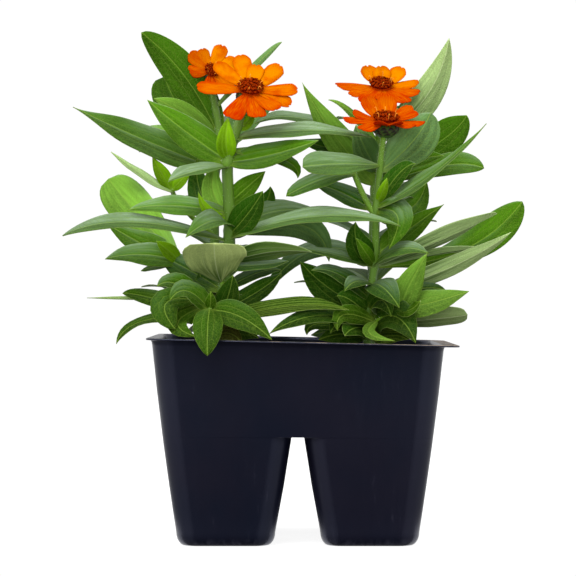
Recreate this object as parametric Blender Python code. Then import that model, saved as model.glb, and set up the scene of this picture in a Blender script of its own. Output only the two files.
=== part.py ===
"""Potted zinnia: four young zinnia plants in a thin plastic pack of four cells.

Lengths are in millimetres until a mesh is made, which turns them to metres.
The origin is on the ground under the middle of the pot, +Z is up and the front of the pot faces -Y.
"""

import math
import random

import bmesh
import bpy
import numpy as np

MM = 0.001

# Pot
RIM_HEIGHT = 87.6
RIM_DROOP = 0.024
FLANGE_LEFT = 64.6
FLANGE_RIGHT = 68.8
FLANGE_FRONT = 66.5
FLANGE_RADIUS = 9.5
FLANGE_THICKNESS = 1.0
WALL = 0.9
SADDLE_HEIGHT = 46.9
CORNER_STEPS = 3
INSIDE_CORNER_STEPS = 2
# Each row: height, half width, corner radius.
BODY_RINGS = (
    (46.9, 57.9, 9.0),
    (66.0, 60.2, 9.6),
    (88.8, 62.6, 10.0),
)
# Each row: height, inner edge, outer edge, corner radius.
CELL_RINGS = (
    (0.0, 13.4, 48.4, 5.6),
    (1.6, 11.2, 50.6, 7.2),
    (5.8, 9.65, 52.2, 8.2),
    (26.0, 5.9, 55.15, 8.7),
    (44.4, 3.0, 57.6, 9.0),
    (46.6, 2.5, 57.85, 9.0),
    (47.3, -0.4, 57.9, 9.0),
    (50.0, -0.6, 58.2, 9.1),
)
DRAIN_HOLE_RADIUS = 4.0
DRAIN_HOLE_SIDES = 10

# Growing medium
SEAT_GAP = 0.3
SOIL_TOP_DEPTH = 6.5
SOIL_MOUND = 2.0
CRUST_HEIGHT = 70.0
SOIL_LUMP = 0.9
STEM_HOLE_RADIUS = 3.2
STEM_HOLE_SIDES = 10

# Stems and leaves
STEM_SIDES = 6
BLADE_THICKNESS = 0.8
ROOT_HALF_WIDTH = 0.95
TIP_HALF_WIDTH = 0.3
LONG_LEAF = 60.0
SHORT_LEAF = 37.6
FLAT_WIDTH = 14.5

FLAT_ANGLE = math.radians(0.4)

# Blooms
FLORET_SIDES = 3
PETAL_THICKNESS = 0.8
PETAL_NOTCH = 0.9

# Main stems from the growing medium to the bloom: each row holds x, y, z and the radius.
MAIN_STEMS = {
    "left_front": (
        (-35.5, -30, 77, 2.4),
        (-35, -30, 90, 2.4),
        (-32.5, -30, 106, 2.4),
        (-30.5, -30, 122, 2.4),
        (-29.5, -30, 140, 2.4),
        (-30.5, -30, 160, 2.4),
        (-30, -30, 167, 2.3),
        (-26.5, -29.5, 179, 1.8),
        (-23.5, -28, 188, 1.8),
    ),
    "right_front": (
        (30, -30, 76, 2.0),
        (30.5, -30, 92, 1.9),
        (31.5, -30, 106, 1.8),
        (33.5, -30, 124, 1.75),
        (34, -30, 142, 1.7),
        (35.5, -30, 160, 1.35),
        (37, -30.5, 174, 1.25),
    ),
    "left_back": (
        (-35.5, 29, 77, 2.2),
        (-36.5, 28, 105, 2.1),
        (-37.5, 28, 128, 2.1),
        (-37.5, 28, 148, 2.0),
        (-37, 27, 166, 1.9),
        (-35.5, 27, 181, 1.6),
        (-38, 27.5, 196, 1.4),
        (-39.5, 27, 204, 1.2),
    ),
    "right_back": (
        (33, 29, 77, 2.2),
        (34, 28, 105, 2.1),
        (34.5, 28, 128, 2.1),
        (35, 28, 148, 2.0),
        (36, 28, 166, 1.9),
        (37.5, 26.5, 182, 1.6),
        (37.8, 24.5, 192, 1.5),
    ),
}

# Side shoots: each row holds the plant, the radius, then where the shoot starts, bends and ends.
SIDE_SHOOTS = (
    ("left_front", 1.3, (-34.5, -29, 97), (-44.5, -18, 112), (-52, -8, 123)),
    ("left_front", 1.2, (-34.5, -31, 94), (-36, -44, 97), (-37.5, -56, 102)),
    ("left_front", 1.1, (-34, -31, 97), (-33, -34, 105), (-32.5, -34.5, 117)),
    ("left_front", 1.0, (-34.5, -31, 92), (-39.5, -42, 98), (-42, -48, 105)),
    ("left_front", 0.9, (-35, -28, 92), (-51.5, -20, 102), (-61.5, -16, 106)),
    ("right_front", 1.3, (33.5, -30, 142), (28, -28, 152), (24, -26, 162)),
    ("right_front", 1.2, (31, -31, 94), (38, -40, 98), (45, -44, 102)),
    ("left_back", 1.1, (-37.5, 27, 134), (-51, 20, 146), (-56.5, 15, 155)),
)

# Leaves: each row holds the start, the middle and the tip of the midrib, the width, the way the
# upper side faces in degrees from straight up towards the front, the angle that each half folds
# up, the twist towards the tip, and two numbers that shape the outline at the start and the tip.
LEAVES = {
    "left_front": (
        ((-30, -30, 165.5), (-48, -24, 178), (-66, -16, 193), 15, 75, 12, 0, 0.62, 1),
        ((-30, -30, 165), (-11, -36, 168), (9, -40, 174), 14, 55, 14, 0, 0.62, 1),
        ((-30.5, -30, 163), (-44, -48, 160), (-55, -60, 155.5), 14, 25, 20, 0, 0.62, 1),
        ((-30, -30, 166.5), (-31, -37, 174), (-30, -38, 184), 9, 90, 12, 0, 0.62, 1),
        ((-26.5, -29.5, 179.5), (-22, -26, 183), (-19, -24, 188), 6, 90, 12, 0, 0.62, 1),
        ((-27.7, -29.5, 175), (4, -33, 178.5), (32, -24, 176), 15, 28, 14, 0, 0.62, 1),
        ((-29, -30, 170), (-6, -29, 166), (0, -30, 158), 8, 50, 14, 0, 0.62, 1),
        ((-29.5, -30, 142.5), (-54, -34, 146), (-73, -38, 144), 12, 48, 12, 0, 0.62, 1),
        ((-29.5, -30, 139), (-42, -14, 151), (-44, -8, 168), 13, 85, 14, 0, 0.62, 1),
        ((-29.5, -30, 141), (-37, -23, 153), (-35, -21, 165), 11, 88, 14, 0, 0.62, 1),
        ((-29.5, -30, 139.5), (-38.5, -34, 143.5), (-43, -34, 152), 5, 85, 12, 0, 0.62, 1),
        ((-30, -30, 147), (-22, -31, 154), (-14, -33, 161), 10, 75, 12, 0, 0.62, 1),
        ((-30, -30, 133), (-21, -40, 143), (-15, -46, 152), 13, 80, 12, 0, 0.62, 1),
        ((-30, -30, 134), (-16, -20, 145), (-12, -17, 155), 11, 72, 12, 0, 0.62, 1),
        ((-30, -30, 133), (-8, -22, 144), (15, -18, 140), 15, 38, 14, 0, 0.62, 1),
        ((-30, -30, 132), (10, -47, 141), (44, -45, 137), 15, 30, 14, 0, 0.62, 1),
        ((-30, -30, 135), (2, -10, 138), (14, -4, 122), 15, 68, 10, 0, 0.62, 1),
        ((-29.5, -30, 137), (-37, -42, 139), (-48, -48, 132), 14, 45, 22, 0, 0.62, 1),
        ((-30, -30, 130.5), (-71, -40, 138.6), (-102, -31, 133), 13, 32, 14, 0, 0.75, 0.6),
        ((-33, -34.5, 113), (-35, -49, 120), (-35.5, -60, 129), 28, -72, 10, 0, 1, 0.2),
        ((-30.5, -30, 121.5), (-12, -42, 126), (6, -45, 126), 12, -42, 14, 0, 0.62, 1),
        ((-30.5, -30, 120), (-17, -36, 120), (-4, -38, 122), 13, 30, 14, 0, 0.62, 1),
        ((-32, -30, 109.5), (-17, -24, 117), (-7, -20, 118), 8, 42, 14, 0, 0.62, 1),
        ((-33.5, -30, 100), (-17, -28, 109), (-7, -24, 117), 10, 60, 14, 0, 0.62, 1),
        ((-32, -30, 109), (-49, -16, 119), (-60, -8, 124), 15, 62, 12, 0, 0.62, 1),
        ((-35, -28.5, 97.5), (-40, -25, 108), (-43, -20, 118), 11, 80, 14, 0, 0.62, 1),
        ((-34, -31, 97), (-30, -36, 107), (-28, -38, 116), 11, 80, 14, 0, 0.62, 1),
        ((-35, -36, 95), (-4, -46, 102.5), (22, -48, 101), 13, 35, 14, 0, 0.62, 1),
        ((-51.5, -8.5, 122.5), (-67, -2, 129), (-85, 4, 139), 14, 66, 10, 0, 0.62, 1),
        ((-51.5, -9, 122), (-68, -16, 125), (-84, -24, 123), 14, 52, 12, 0, 0.62, 1),
        ((-51.5, -9, 122), (-63, 3, 120), (-70, 8, 118), 6, 50, 12, 0, 0.62, 1),
        ((-51.5, -9, 122), (-57, -15, 127), (-62, -18, 131), 7, 80, 12, 0, 0.62, 1),
        ((-52, -8, 123), (-71, 6, 143), (-85, 14, 159.5), 20, 74, 8, 0, 0.8, 0.42),
        ((-37.5, -54, 101), (-24, -62, 98), (-11, -66, 88.5), 13, 66, 12, 0, 0.62, 1),
        ((-37.5, -55.5, 101.5), (-38, -68, 94), (-38, -74, 82), 13, 85, 12, 0, 0.7, 0.75),
        ((-37.5, -54.5, 101), (-47, -60, 109), (-54, -64, 105), 13, 48, 14, 0, 0.62, 1),
        ((-37.5, -55, 101.5), (-37, -58, 105), (-37, -59, 109), 5, 85, 12, 0, 0.62, 1),
        ((-42, -48, 105), (-56, -56, 104), (-52, -62, 93), 13, 66, 12, 0, 0.7, 0.6),
        ((-41.5, -46.5, 102.5), (-52, -48, 112), (-60, -52, 111), 12, 55, 12, 0, 0.62, 1),
        ((-41.5, -46, 102), (-51, -58, 95.5), (-43, -63, 89.8), 11, 80, 12, 0, 0.62, 1),
        ((-34, -30, 95.5), (-65, -25, 96.5), (-79, -26, 86), 9, 30, 14, 0, 0.62, 1),
        ((-35.5, -28, 98.5), (-64, -17, 106), (-77, -14, 108), 9, 60, 14, 0, 0.62, 1),
        ((-61, -16, 106), (-75, -12, 106), (-93, -8, 106), 2, 60, 10, 0, 0.62, 1),
        ((-35, -29.5, 92), (-26, -28, 92.5), (-17, -28, 88.5), 12, 70, 12, 0, 0.62, 1),
        ((-34.5, -31, 90), (-29, -35, 90.5), (-24, -38, 86.5), 8, 60, 12, 0, 0.62, 1),
        ((-35.5, -29, 93), (-43, -18, 94), (-49, -8, 91), 12, 50, 12, 0, 0.62, 1),
        ((-35, -29, 94), (-27, -16, 94.5), (-18, -8, 92), 13, 50, 12, 0, 0.62, 1),
    ),
    "right_front": (
        ((36, -30, 163.5), (19, -44, 163.5), (2, -52, 162), 16, 48, 14, 0, 0.9, 0.45),
        ((24.5, -26.5, 160), (12, -34, 158), (-5, -38, 150), 11, 42, 14, 0, 0.62, 0.5),
        ((32, -29.5, 144.5), (19, -24, 152), (7, -20, 156), 11, 52, 14, 0, 0.62, 1),
        ((34.5, -30, 145), (59, -40, 160), (81, -44, 181), 13, 30, 18, 0, 0.55, 1.6),
        ((35.5, -30, 161), (50, -22, 174), (58.5, -15, 187.5), 20, 72, 8, 0, 0.8, 0.7),
        ((34.5, -30, 147.5), (37, -36, 153), (38.5, -38, 158), 4.5, 85, 12, 0, 0.62, 1),
        ((34.5, -30, 146.5), (44, -34, 160), (51, -36, 164), 9, 62, 12, 0, 0.62, 1),
        ((32.5, -29.5, 143.5), (49, -16, 145), (57, -8, 158), 14, 80, 12, 0, 0.62, 1),
        ((33.5, -30, 124.5), (50, -24, 137), (64, -22, 147), 12, 68, 12, 0, 0.62, 1.3),
        ((34, -30, 144.5), (43, -41, 141), (39, -45, 127), 15, 72, 12, 0, 0.62, 1),
        ((33, -30, 120), (64, -26, 132), (87, -22, 143), 14, -42, 20, 50, 0.8, 0.5),
        ((33, -30, 120), (73, 0, 127), (103, 17, 150), 16, 78, 8, 0, 1.7, 0.68),
        ((31.5, -30, 107), (68, -18, 120), (94, -12, 135), 10, -62, 14, 0, 0.62, 1),
        ((33, -30, 119), (63, -8, 126), (82, 0, 128), 7, -40, 14, 0, 0.62, 1),
        ((33, -30, 120), (44, -42, 127), (56, -48, 125), 12, 42, 14, 0, 0.62, 1),
        ((44, -43.5, 101.5), (48, -48, 112), (55, -52, 125), 12, 86, 12, 0, 0.62, 1),
        ((44, -43.5, 101.5), (48, -52, 101), (52, -58, 105), 9, 60, 14, 0, 0.62, 1),
        ((44, -43.5, 101.5), (57, -48, 104), (73, -52, 109), 13, 62, 12, 0, 0.62, 1),
        ((31.5, -30, 105), (53, -26, 110), (65, -22, 109), 9, 50, 14, 0, 0.62, 1),
        ((31, -30, 95.5), (57, -38, 97), (73, -42, 99), 12, -46, 14, 0, 0.8, 0.45),
        ((32, -30, 112), (37, -50, 110), (43, -60, 102), 13, 68, 14, 0, 0.62, 1),
        ((32, -30, 112), (25, -44, 113), (20, -50, 109), 9, 50, 14, 0, 0.62, 1),
        ((31, -30, 101), (14, -26, 110), (1, -24, 122), 17, 68, 10, 0, 0.62, 1),
        ((31.5, -30, 105), (18, -36, 116), (6, -40, 118), 11, 42, 14, 0, 0.62, 1),
        ((33, -30, 121.5), (26, -36, 129), (25, -38, 139), 12, 84, 12, 0, 0.62, 1),
        ((33, -30, 120.5), (29, -40, 126), (25, -42, 132), 6, 80, 12, 0, 0.62, 1),
        ((33, -30, 119.5), (14, -38, 125), (-2, -42, 127), 9, 32, 14, 0, 0.62, 1),
        ((32, -32.5, 94.5), (9, -48, 98.5), (-12, -54, 91), 13, 40, 14, 0, 0.62, 1),
        ((33.5, -34.5, 95.5), (20, -46, 99), (17, -50, 92), 9, 75, 12, 0, 0.62, 1),
        ((32, -32.5, 94.5), (42, -48, 98), (50, -58, 87), 17, 70, 12, 0, 0.62, 1),
        ((34.5, -36.1, 96), (30.5, -54, 91), (41, -60, 88), 5.5, 60, 14, 0, 0.62, 1),
        ((30.5, -30, 92), (10, -34, 95), (4, -36, 90), 8, 50, 14, 0, 0.62, 1),
        ((30.5, -30, 91.5), (20, -40, 96), (14, -46, 91), 11, 70, 12, 0, 0.62, 1),
        ((31, -30, 98), (23, -36, 105), (17, -38, 107), 12, 70, 12, 0, 0.62, 1),
        ((31, -30, 100), (36, -42, 105), (40, -48, 98), 12, 70, 12, 0, 0.62, 1),
        ((30.5, -29.5, 90), (19, -33, 90.5), (9, -35, 88), 10, 80, 12, 0, 0.62, 1),
        ((30.5, -30, 93), (24, -44, 93), (20, -54, 90), 12, 75, 12, 0, 0.62, 1),
        ((30.5, -29, 93), (18, -16, 92), (6, -6, 89.5), 13, 50, 12, 0, 0.62, 1),
        ((30.5, -29, 93.5), (42, -16, 95), (52, -4, 92), 13, 45, 12, 0, 0.62, 1),
        ((31, -31, 90), (42, -42, 92), (50, -50, 88.6), 13, 80, 12, 0, 0.62, 1),
    ),
    "left_back": (
        ((-35.5, 27, 179), (-51, 32, 206.5), (-70.8, 26, 227), 17.5, 80, 8, 0, 0.5, 0.62),
        ((-36, 27, 174), (-53, 40, 192), (-61, 47, 208), 19, 75, 10, 0, 0.8, 0.42),
        ((-36.5, 27, 173), (-50, 10, 187), (-64, 4, 195), 13, 72, 12, 0, 0.62, 1),
        ((-37, 27, 165), (-68, 14, 176.5), (-100, 2, 191), 19, 52, 12, 0, 1, 1.4),
        ((-37, 27, 164), (-55, 34, 177), (-70, 38, 184), 17, 60, 10, 0, 0.62, 1),
        ((-56, 15.5, 153.5), (-70, 8, 161), (-83, 2, 171), 7, 38, 14, 0, 0.62, 1),
        ((-56.5, 15.5, 154.5), (-61, 12, 162), (-65, 10, 169), 7, 80, 12, 0, 0.62, 1),
        ((-56.5, 15.5, 154.5), (-52, 12, 159), (-48, 11, 163), 6, 72, 12, 0, 0.62, 1),
        ((-36.5, 27, 173), (-22, 34, 188), (-7, 40, 200), 12, 70, 12, 0, 0.62, 1),
        ((-37.5, 27.5, 192), (-16, 34, 215), (-7, 38, 223), 3.8, 60, 12, 0, 0.62, 1),
    ),
    "right_back": (
        ((35.5, 28, 157.5), (15, 8, 181), (2, 0, 202), 14, 80, 10, 0, 0.62, 1.4),
        ((37, 27, 175), (24, 20, 189.5), (14, 14, 195), 5, 50, 14, 0, 0.62, 1),
        ((37, 27, 177.5), (59, 31, 198), (69, 27, 224), 15, -84, 12, 0, 0.7, 0.95),
        ((35.5, 28, 159.5), (64, 18, 176), (76, 12, 188), 17, 74, 8, 0, 0.9, 0.9),
        ((35.5, 28, 156), (64, 6, 164.8), (83, 0, 163.6), 13, 58, 12, 0, 1.3, 0.8),
        ((35.5, 28, 161.5), (52, 2, 167), (65, -4, 169), 10, 62, 12, 0, 0.62, 1),
        ((36.5, 27.5, 172), (4, 6, 185.5), (-19, -6, 183), 15, 28, 14, 0, 0.62, 1),
        ((34.5, 28, 122), (7, 8, 127), (-16, 0, 106), 14, 36, 14, 0, 0.62, 1),
        ((36, 28, 165), (30, 4, 173), (26, 0, 183), 13, 80, 12, 0, 0.62, 1),
        ((36, 28, 168), (20, 20, 172), (0, 14, 177), 13, 62, 12, 0, 0.62, 1),
    ),
}

# Leaves placed by rule, in pairs up the main stem, on the side turned to the back: heights, the
# angles from the back that pairs take in turn, the length, the rise and the width.
PAIRED_LEAVES = {
    "left_back": ((96, 110, 128, 146, 163, 178), (52, 22), 48, 13, 14),
    "right_back": ((98, 112, 130, 148, 165, 180), (50, 24), 48, 13, 14),
    "left_front": ((104, 120, 138), (48, 20), 29, 9, 11),
    "right_front": ((106, 124, 142), (46, 20), 29, 9, 11),
}
PAIRED_LEAF_SEED = 11

# Blooms: where the middle of the disc sits, the way it faces, its size, and its petals. Each petal
# row holds the angle round the disc, the length, the height of the tip and the width.
BLOOMS = {
    "left_front": {
        "centre": (-20.5, -29, 197.5),
        "axis": (0.1, -0.62, 0.78),
        "size": 1,
        "petals": (
            (3, 20.3, 1, 9),
            (57, 20, 2.5, 9),
            (85, 15.2, 2, 7.5),
            (107, 22, 2, 8.5),
            (142, 20.8, 2, 9),
            (-165, 23.4, 0.5, 9.5),
            (-105, 25.2, 0, 9),
            (-76, 21.8, 0, 8.5),
            (-49, 19.4, 0.5, 8.5),
            (-22, 19.5, -1.5, 8),
        ),
    },
    "right_front": {
        "centre": (38.3, -31, 184),
        "axis": (0.04, -0.41, 0.91),
        "size": 0.98,
        "petals": (
            (-14, 17.1, 0.5, 7.5),
            (14, 14.2, 1.8, 8),
            (46, 15, 2.3, 8.5),
            (88, 16, 5, 9),
            (124, 15.5, 5, 8.5),
            (172, 14.4, 2, 7.5),
            (-166, 18.8, 0.5, 7.5),
            (-131, 16.2, -1, 8),
            (-101, 11.5, 2.8, 7.5),
            (-66, 11.5, 2.5, 7.5),
            (-36, 14.6, 0, 7.5),
        ),
    },
    "left_back": {
        "centre": (-38.7, 26, 209.3),
        "axis": (0.3, -0.8, 0.5),
        "size": 0.62,
        "petals": (
            (176, 12.6, 1.5, 8),
            (146, 11, 1.8, 7),
            (98, 15, 1, 7),
            (61, 13.7, 1, 7),
            (25, 13.0, 1, 7),
            (-20, 13.3, 1, 7),
            (-66, 12.8, 1, 7),
            (-138, 11.5, 1, 7),
        ),
    },
    "right_back": {
        "centre": (37.9, 23, 202.6),
        "axis": (0.05, -0.5, 0.87),
        "size": 0.95,
        "petals": (
            (8, 17.0, 1.5, 9),
            (50, 14.5, 3.8, 9),
            (88, 11, 4, 8.5),
            (122, 13.3, 3.6, 9),
            (-167, 20.8, 1, 9.5),
            (-138, 18.6, 0, 6),
            (-114, 19.4, -1, 7.5),
            (-84, 16.8, 0, 8.5),
            (-56, 20.5, 0, 9),
            (-24, 18.6, 0.5, 9),
        ),
    },
}


def clear_scene():
    """Remove every object that the startup scene holds."""
    for thing in list(bpy.data.objects):
        bpy.data.objects.remove(thing, do_unlink=True)


def make_collection(name, hidden=False):
    """Add a collection to the scene."""
    collection = bpy.data.collections.new(name)
    bpy.context.scene.collection.children.link(collection)
    collection.hide_render = hidden
    return collection


def make_material(name, colour, roughness):
    """Make one Principled material."""
    material = bpy.data.materials.new(name)
    material.use_nodes = True
    shader = material.node_tree.nodes["Principled BSDF"]
    shader.inputs["Base Color"].default_value = (*colour, 1.0)
    shader.inputs["Roughness"].default_value = roughness
    return material


def pot_plastic():
    """Thin dark navy sheet plastic with a soft sheen."""
    return make_material("pot_plastic", (0.010, 0.011, 0.022), 0.38)


def potting_mix():
    """Greyish brown peat."""
    return make_material("potting_mix", (0.13, 0.095, 0.065), 0.95)


def leaf_green():
    """Fresh green of leaf and stem."""
    return make_material("leaf_green", (0.09, 0.26, 0.03), 0.55)


def petal_orange():
    """Warm orange of the ray petals."""
    return make_material("petal_orange", (0.90, 0.16, 0.005), 0.5)


def floret_brown():
    """Dark maroon brown of the disc."""
    return make_material("floret_brown", (0.055, 0.012, 0.008), 0.8)


def unit(vector):
    """The vectors scaled to length one."""
    return vector / np.linalg.norm(vector, axis=-1, keepdims=True)


def mesh_object(name, collection, points, faces):
    """Make an object from points in millimetres, with its faces outwards."""
    mesh = bpy.data.meshes.new(name)
    mesh.from_pydata((np.asarray(points, float) * MM).tolist(), [], faces)
    shape = bmesh.new()
    shape.from_mesh(mesh)
    bmesh.ops.recalc_face_normals(shape, faces=shape.faces[:])
    shape.to_mesh(mesh)
    shape.free()
    made = bpy.data.objects.new(name, mesh)
    collection.objects.link(made)
    return made


def loft(name, collection, rings):
    """Join rings of equally many points, one after the other, and close both ends."""
    rings = np.asarray(rings, float)
    count, around = rings.shape[:2]
    faces = []
    for ring in range(count - 1):
        for step in range(around):
            after = (step + 1) % around
            low = ring * around
            high = low + around
            faces.append((low + step, low + after, high + after, high + step))
    faces.append(tuple(range(around)))
    last = (count - 1) * around
    faces.append(tuple(range(last, last + around)))
    return mesh_object(name, collection, rings.reshape(-1, 3), faces)


def rounded_ring(low, high, radius, height, steps=CORNER_STEPS):
    """A rounded rectangle between two corners, at one height."""
    corners = (
        (high[0] - radius, high[1] - radius, 0),
        (low[0] + radius, high[1] - radius, 90),
        (low[0] + radius, low[1] + radius, 180),
        (high[0] - radius, low[1] + radius, 270),
    )
    points = []
    for x, y, start in corners:
        for step in range(steps + 1):
            angle = math.radians(start + 90 * step / steps)
            points.append((x + radius * math.cos(angle), y + radius * math.sin(angle), height))
    return points


def square_ring(half, radius, height, steps=CORNER_STEPS):
    """A rounded square round the origin."""
    return rounded_ring((-half, -half), (half, half), radius, height, steps)


def apply_boolean(target, operation, operand, solver="EXACT"):
    """Join or cut the target with an object or a collection and keep the result as its mesh."""
    modifier = target.modifiers.new("join", "BOOLEAN")
    modifier.operation = operation
    modifier.solver = solver
    if isinstance(operand, bpy.types.Collection):
        modifier.operand_type = "COLLECTION"
        modifier.collection = operand
    else:
        modifier.object = operand
    graph = bpy.context.evaluated_depsgraph_get()
    result = bpy.data.meshes.new_from_object(target.evaluated_get(graph))
    target.modifiers.clear()
    target.data = result


def remove_all(collection):
    """Remove the objects of a collection and the collection."""
    for thing in list(collection.objects):
        bpy.data.objects.remove(thing, do_unlink=True)
    bpy.data.collections.remove(collection)


def keep_main_body(thing):
    """Keep only the biggest closed surface, so sealed hollows are filled and scrap is dropped."""
    shape = bmesh.new()
    shape.from_mesh(thing.data)
    bmesh.ops.triangulate(shape, faces=shape.faces[:])
    unseen = set(shape.verts)
    bodies = []
    while unseen:
        front = [unseen.pop()]
        body = set(front)
        while front:
            vertex = front.pop()
            for edge in vertex.link_edges:
                other = edge.other_vert(vertex)
                if other in unseen:
                    unseen.remove(other)
                    body.add(other)
                    front.append(other)
        bodies.append(body)
    bodies.sort(key=len)
    for body in bodies[:-1]:
        bmesh.ops.delete(shape, geom=list(body), context="VERTS")
    bmesh.ops.dissolve_limit(shape, angle_limit=FLAT_ANGLE, verts=shape.verts[:], edges=shape.edges[:])
    bmesh.ops.triangulate(shape, faces=shape.faces[:])
    shape.to_mesh(thing.data)
    shape.free()


def finish(thing, name, material):
    """Name a finished sub-part and give it its one material."""
    thing.name = name
    thing.data.name = name
    thing.data.materials.clear()
    thing.data.materials.append(material)
    for face in thing.data.polygons:
        face.material_index = 0


def lean_rim(thing):
    """Let the upper half droop evenly from left to right, as the soft pack does."""
    for vertex in thing.data.vertices:
        share = min(1.0, max(0.0, vertex.co.z / MM / RIM_HEIGHT))
        vertex.co.z -= RIM_DROOP * vertex.co.x * share * share


def cell_corners(inner, outer, side_x, side_y):
    """The two opposite corners of one cell, on the given sides of the middle."""
    xs = sorted((inner * side_x, outer * side_x))
    ys = sorted((inner * side_y, outer * side_y))
    return (xs[0], ys[0]), (xs[1], ys[1])


def cell_solid(collection, side_x, side_y, inset, rows, steps=CORNER_STEPS):
    """One cell of the pack from rows of height and edges, shrunk by the inset."""
    rings = []
    for height, inner, outer, radius in rows:
        low, high = cell_corners(inner + inset, outer - inset, side_x, side_y)
        rings.append(rounded_ring(low, high, radius - inset, height, steps))
    return loft("cell", collection, rings)


def body_ring(height, inset):
    """The outline of the upper body at a height, shrunk by the inset."""
    heights, halves, radii = zip(*BODY_RINGS)
    half = float(np.interp(height, heights, halves))
    radius = float(np.interp(height, heights, radii))
    return square_ring(half - inset, radius - inset, height, INSIDE_CORNER_STEPS)


def pot_inside(collection, inset, top):
    """The space inside the pot as one solid, shrunk from the outer skin by the inset."""
    rings = [body_ring(height, inset) for height in (SADDLE_HEIGHT + 0.4 + inset, 62.0, top)]
    inside = loft("inside", collection, rings)
    cells = make_collection("inside_cells", hidden=True)
    low, middle, high = CELL_RINGS[2:5]
    rows = ((inset, *CELL_RINGS[0][1:]), low, middle, high, (SADDLE_HEIGHT + 4, *high[1:]))
    for side_x in (-1, 1):
        for side_y in (-1, 1):
            cell_solid(cells, side_x, side_y, inset, rows, INSIDE_CORNER_STEPS)
    apply_boolean(inside, "UNION", cells)
    remove_all(cells)
    return inside


def flange_ring(inset, height):
    """The outline of the flange at a height, shrunk by the inset. It is widest on the right."""
    low = (inset - FLANGE_LEFT, inset - FLANGE_FRONT)
    high = (FLANGE_RIGHT - inset, FLANGE_FRONT - inset)
    return rounded_ring(low, high, FLANGE_RADIUS, height)


def build_pot(collection, cutters):
    """The thermoformed pack: upper trough, four tapered cells, flat flange and drain holes."""
    rings = [square_ring(half, radius, min(height, RIM_HEIGHT - 0.4)) for height, half, radius in BODY_RINGS]
    pot = loft("pot", collection, rings)
    additions = make_collection("pot_additions", hidden=True)
    for side_x in (-1, 1):
        for side_y in (-1, 1):
            cell_solid(additions, side_x, side_y, 0.0, CELL_RINGS)
    lowest = RIM_HEIGHT - FLANGE_THICKNESS
    flange = (
        flange_ring(0.4, lowest),
        flange_ring(0.0, lowest + 0.4),
        flange_ring(0.2, RIM_HEIGHT),
    )
    loft("flange", additions, flange)
    apply_boolean(pot, "UNION", additions)
    remove_all(additions)
    inside = pot_inside(cutters, WALL, RIM_HEIGHT + 4)
    apply_boolean(pot, "DIFFERENCE", inside)
    holes = make_collection("drain_holes", hidden=True)
    middle = (CELL_RINGS[0][1] + CELL_RINGS[0][2]) / 2
    for side_x in (-1, 1):
        for side_y in (-1, 1):
            column(holes, (middle * side_x, middle * side_y), DRAIN_HOLE_RADIUS, -2, 4, DRAIN_HOLE_SIDES)
    apply_boolean(pot, "DIFFERENCE", holes)
    remove_all(holes)
    lean_rim(pot)
    finish(pot, "pot", pot_plastic())
    return pot


def column(collection, middle, radius, low, high, sides):
    """An upright prism."""
    angles = np.arange(sides) * 2 * math.pi / sides
    x = middle[0] + radius * np.cos(angles)
    y = middle[1] + radius * np.sin(angles)
    rings = [np.stack([x, y, np.full(sides, height)], axis=1) for height in (low, high)]
    return loft("column", collection, rings)


def soil_height(x, y):
    """The lumpy top of the growing medium, highest in the middle."""
    mound = SOIL_MOUND * (1 - (np.maximum(abs(x), abs(y)) / 60) ** 2)
    lumps = np.sin(0.31 * x + 0.7) * np.cos(0.27 * y - 0.4) + 0.5 * np.sin(0.53 * x - 0.47 * y)
    return RIM_HEIGHT - SOIL_TOP_DEPTH + mound + SOIL_LUMP * lumps


def build_growing_medium(collection, cutters):
    """The block of potting mix: fills trough and cells, with a lumpy top and a hole for each stem."""
    inset = WALL + SEAT_GAP
    soil = pot_inside(collection, inset, CRUST_HEIGHT + 2)
    rings = [body_ring(CRUST_HEIGHT, inset)]
    half = body_ring(RIM_HEIGHT - SOIL_TOP_DEPTH, inset + SEAT_GAP)[0][0]
    for share in (1.0, 0.8, 0.5, 0.16):
        ring = np.array(square_ring(half * share, BODY_RINGS[-1][2] * share, 0, INSIDE_CORNER_STEPS))
        ring[:, 2] = soil_height(ring[:, 0], ring[:, 1])
        rings.append(ring)
    crust = loft("crust", cutters, rings)
    apply_boolean(soil, "UNION", crust)
    lean_rim(soil)
    holes = make_collection("stem_holes", hidden=True)
    for rows in MAIN_STEMS.values():
        x, y, z, _ = rows[0]
        column(holes, (x, y), STEM_HOLE_RADIUS, z - SEAT_GAP, RIM_HEIGHT + 9, STEM_HOLE_SIDES)
    apply_boolean(soil, "DIFFERENCE", holes)
    remove_all(holes)
    finish(soil, "growing_medium", potting_mix())
    return soil


def bend(start, middle, end, shares):
    """Points on the curve through three points, and the direction there."""
    start, middle, end = (np.asarray(p, float) for p in (start, middle, end))
    pull = 2 * middle - (start + end) / 2
    u = np.asarray(shares, float)[:, None]
    points = (1 - u) ** 2 * start + 2 * u * (1 - u) * pull + u**2 * end
    along = unit(2 * (1 - u) * (pull - start) + 2 * u * (end - pull))
    return points, along


def tube(name, collection, points, radii, sides=STEM_SIDES):
    """A round bar along points, its rings square to the path."""
    points = np.asarray(points, float)
    along = unit(np.gradient(points, axis=0))
    across = unit(np.cross(along, (0.0, 1.0, 0.05)))
    over = np.cross(along, across)
    angles = np.arange(sides) * 2 * math.pi / sides
    rings = []
    for point, side, top, radius in zip(points, across, over, radii):
        rings.append(point + radius * (np.outer(np.cos(angles), side) + np.outer(np.sin(angles), top)))
    return loft(name, collection, rings)


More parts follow.
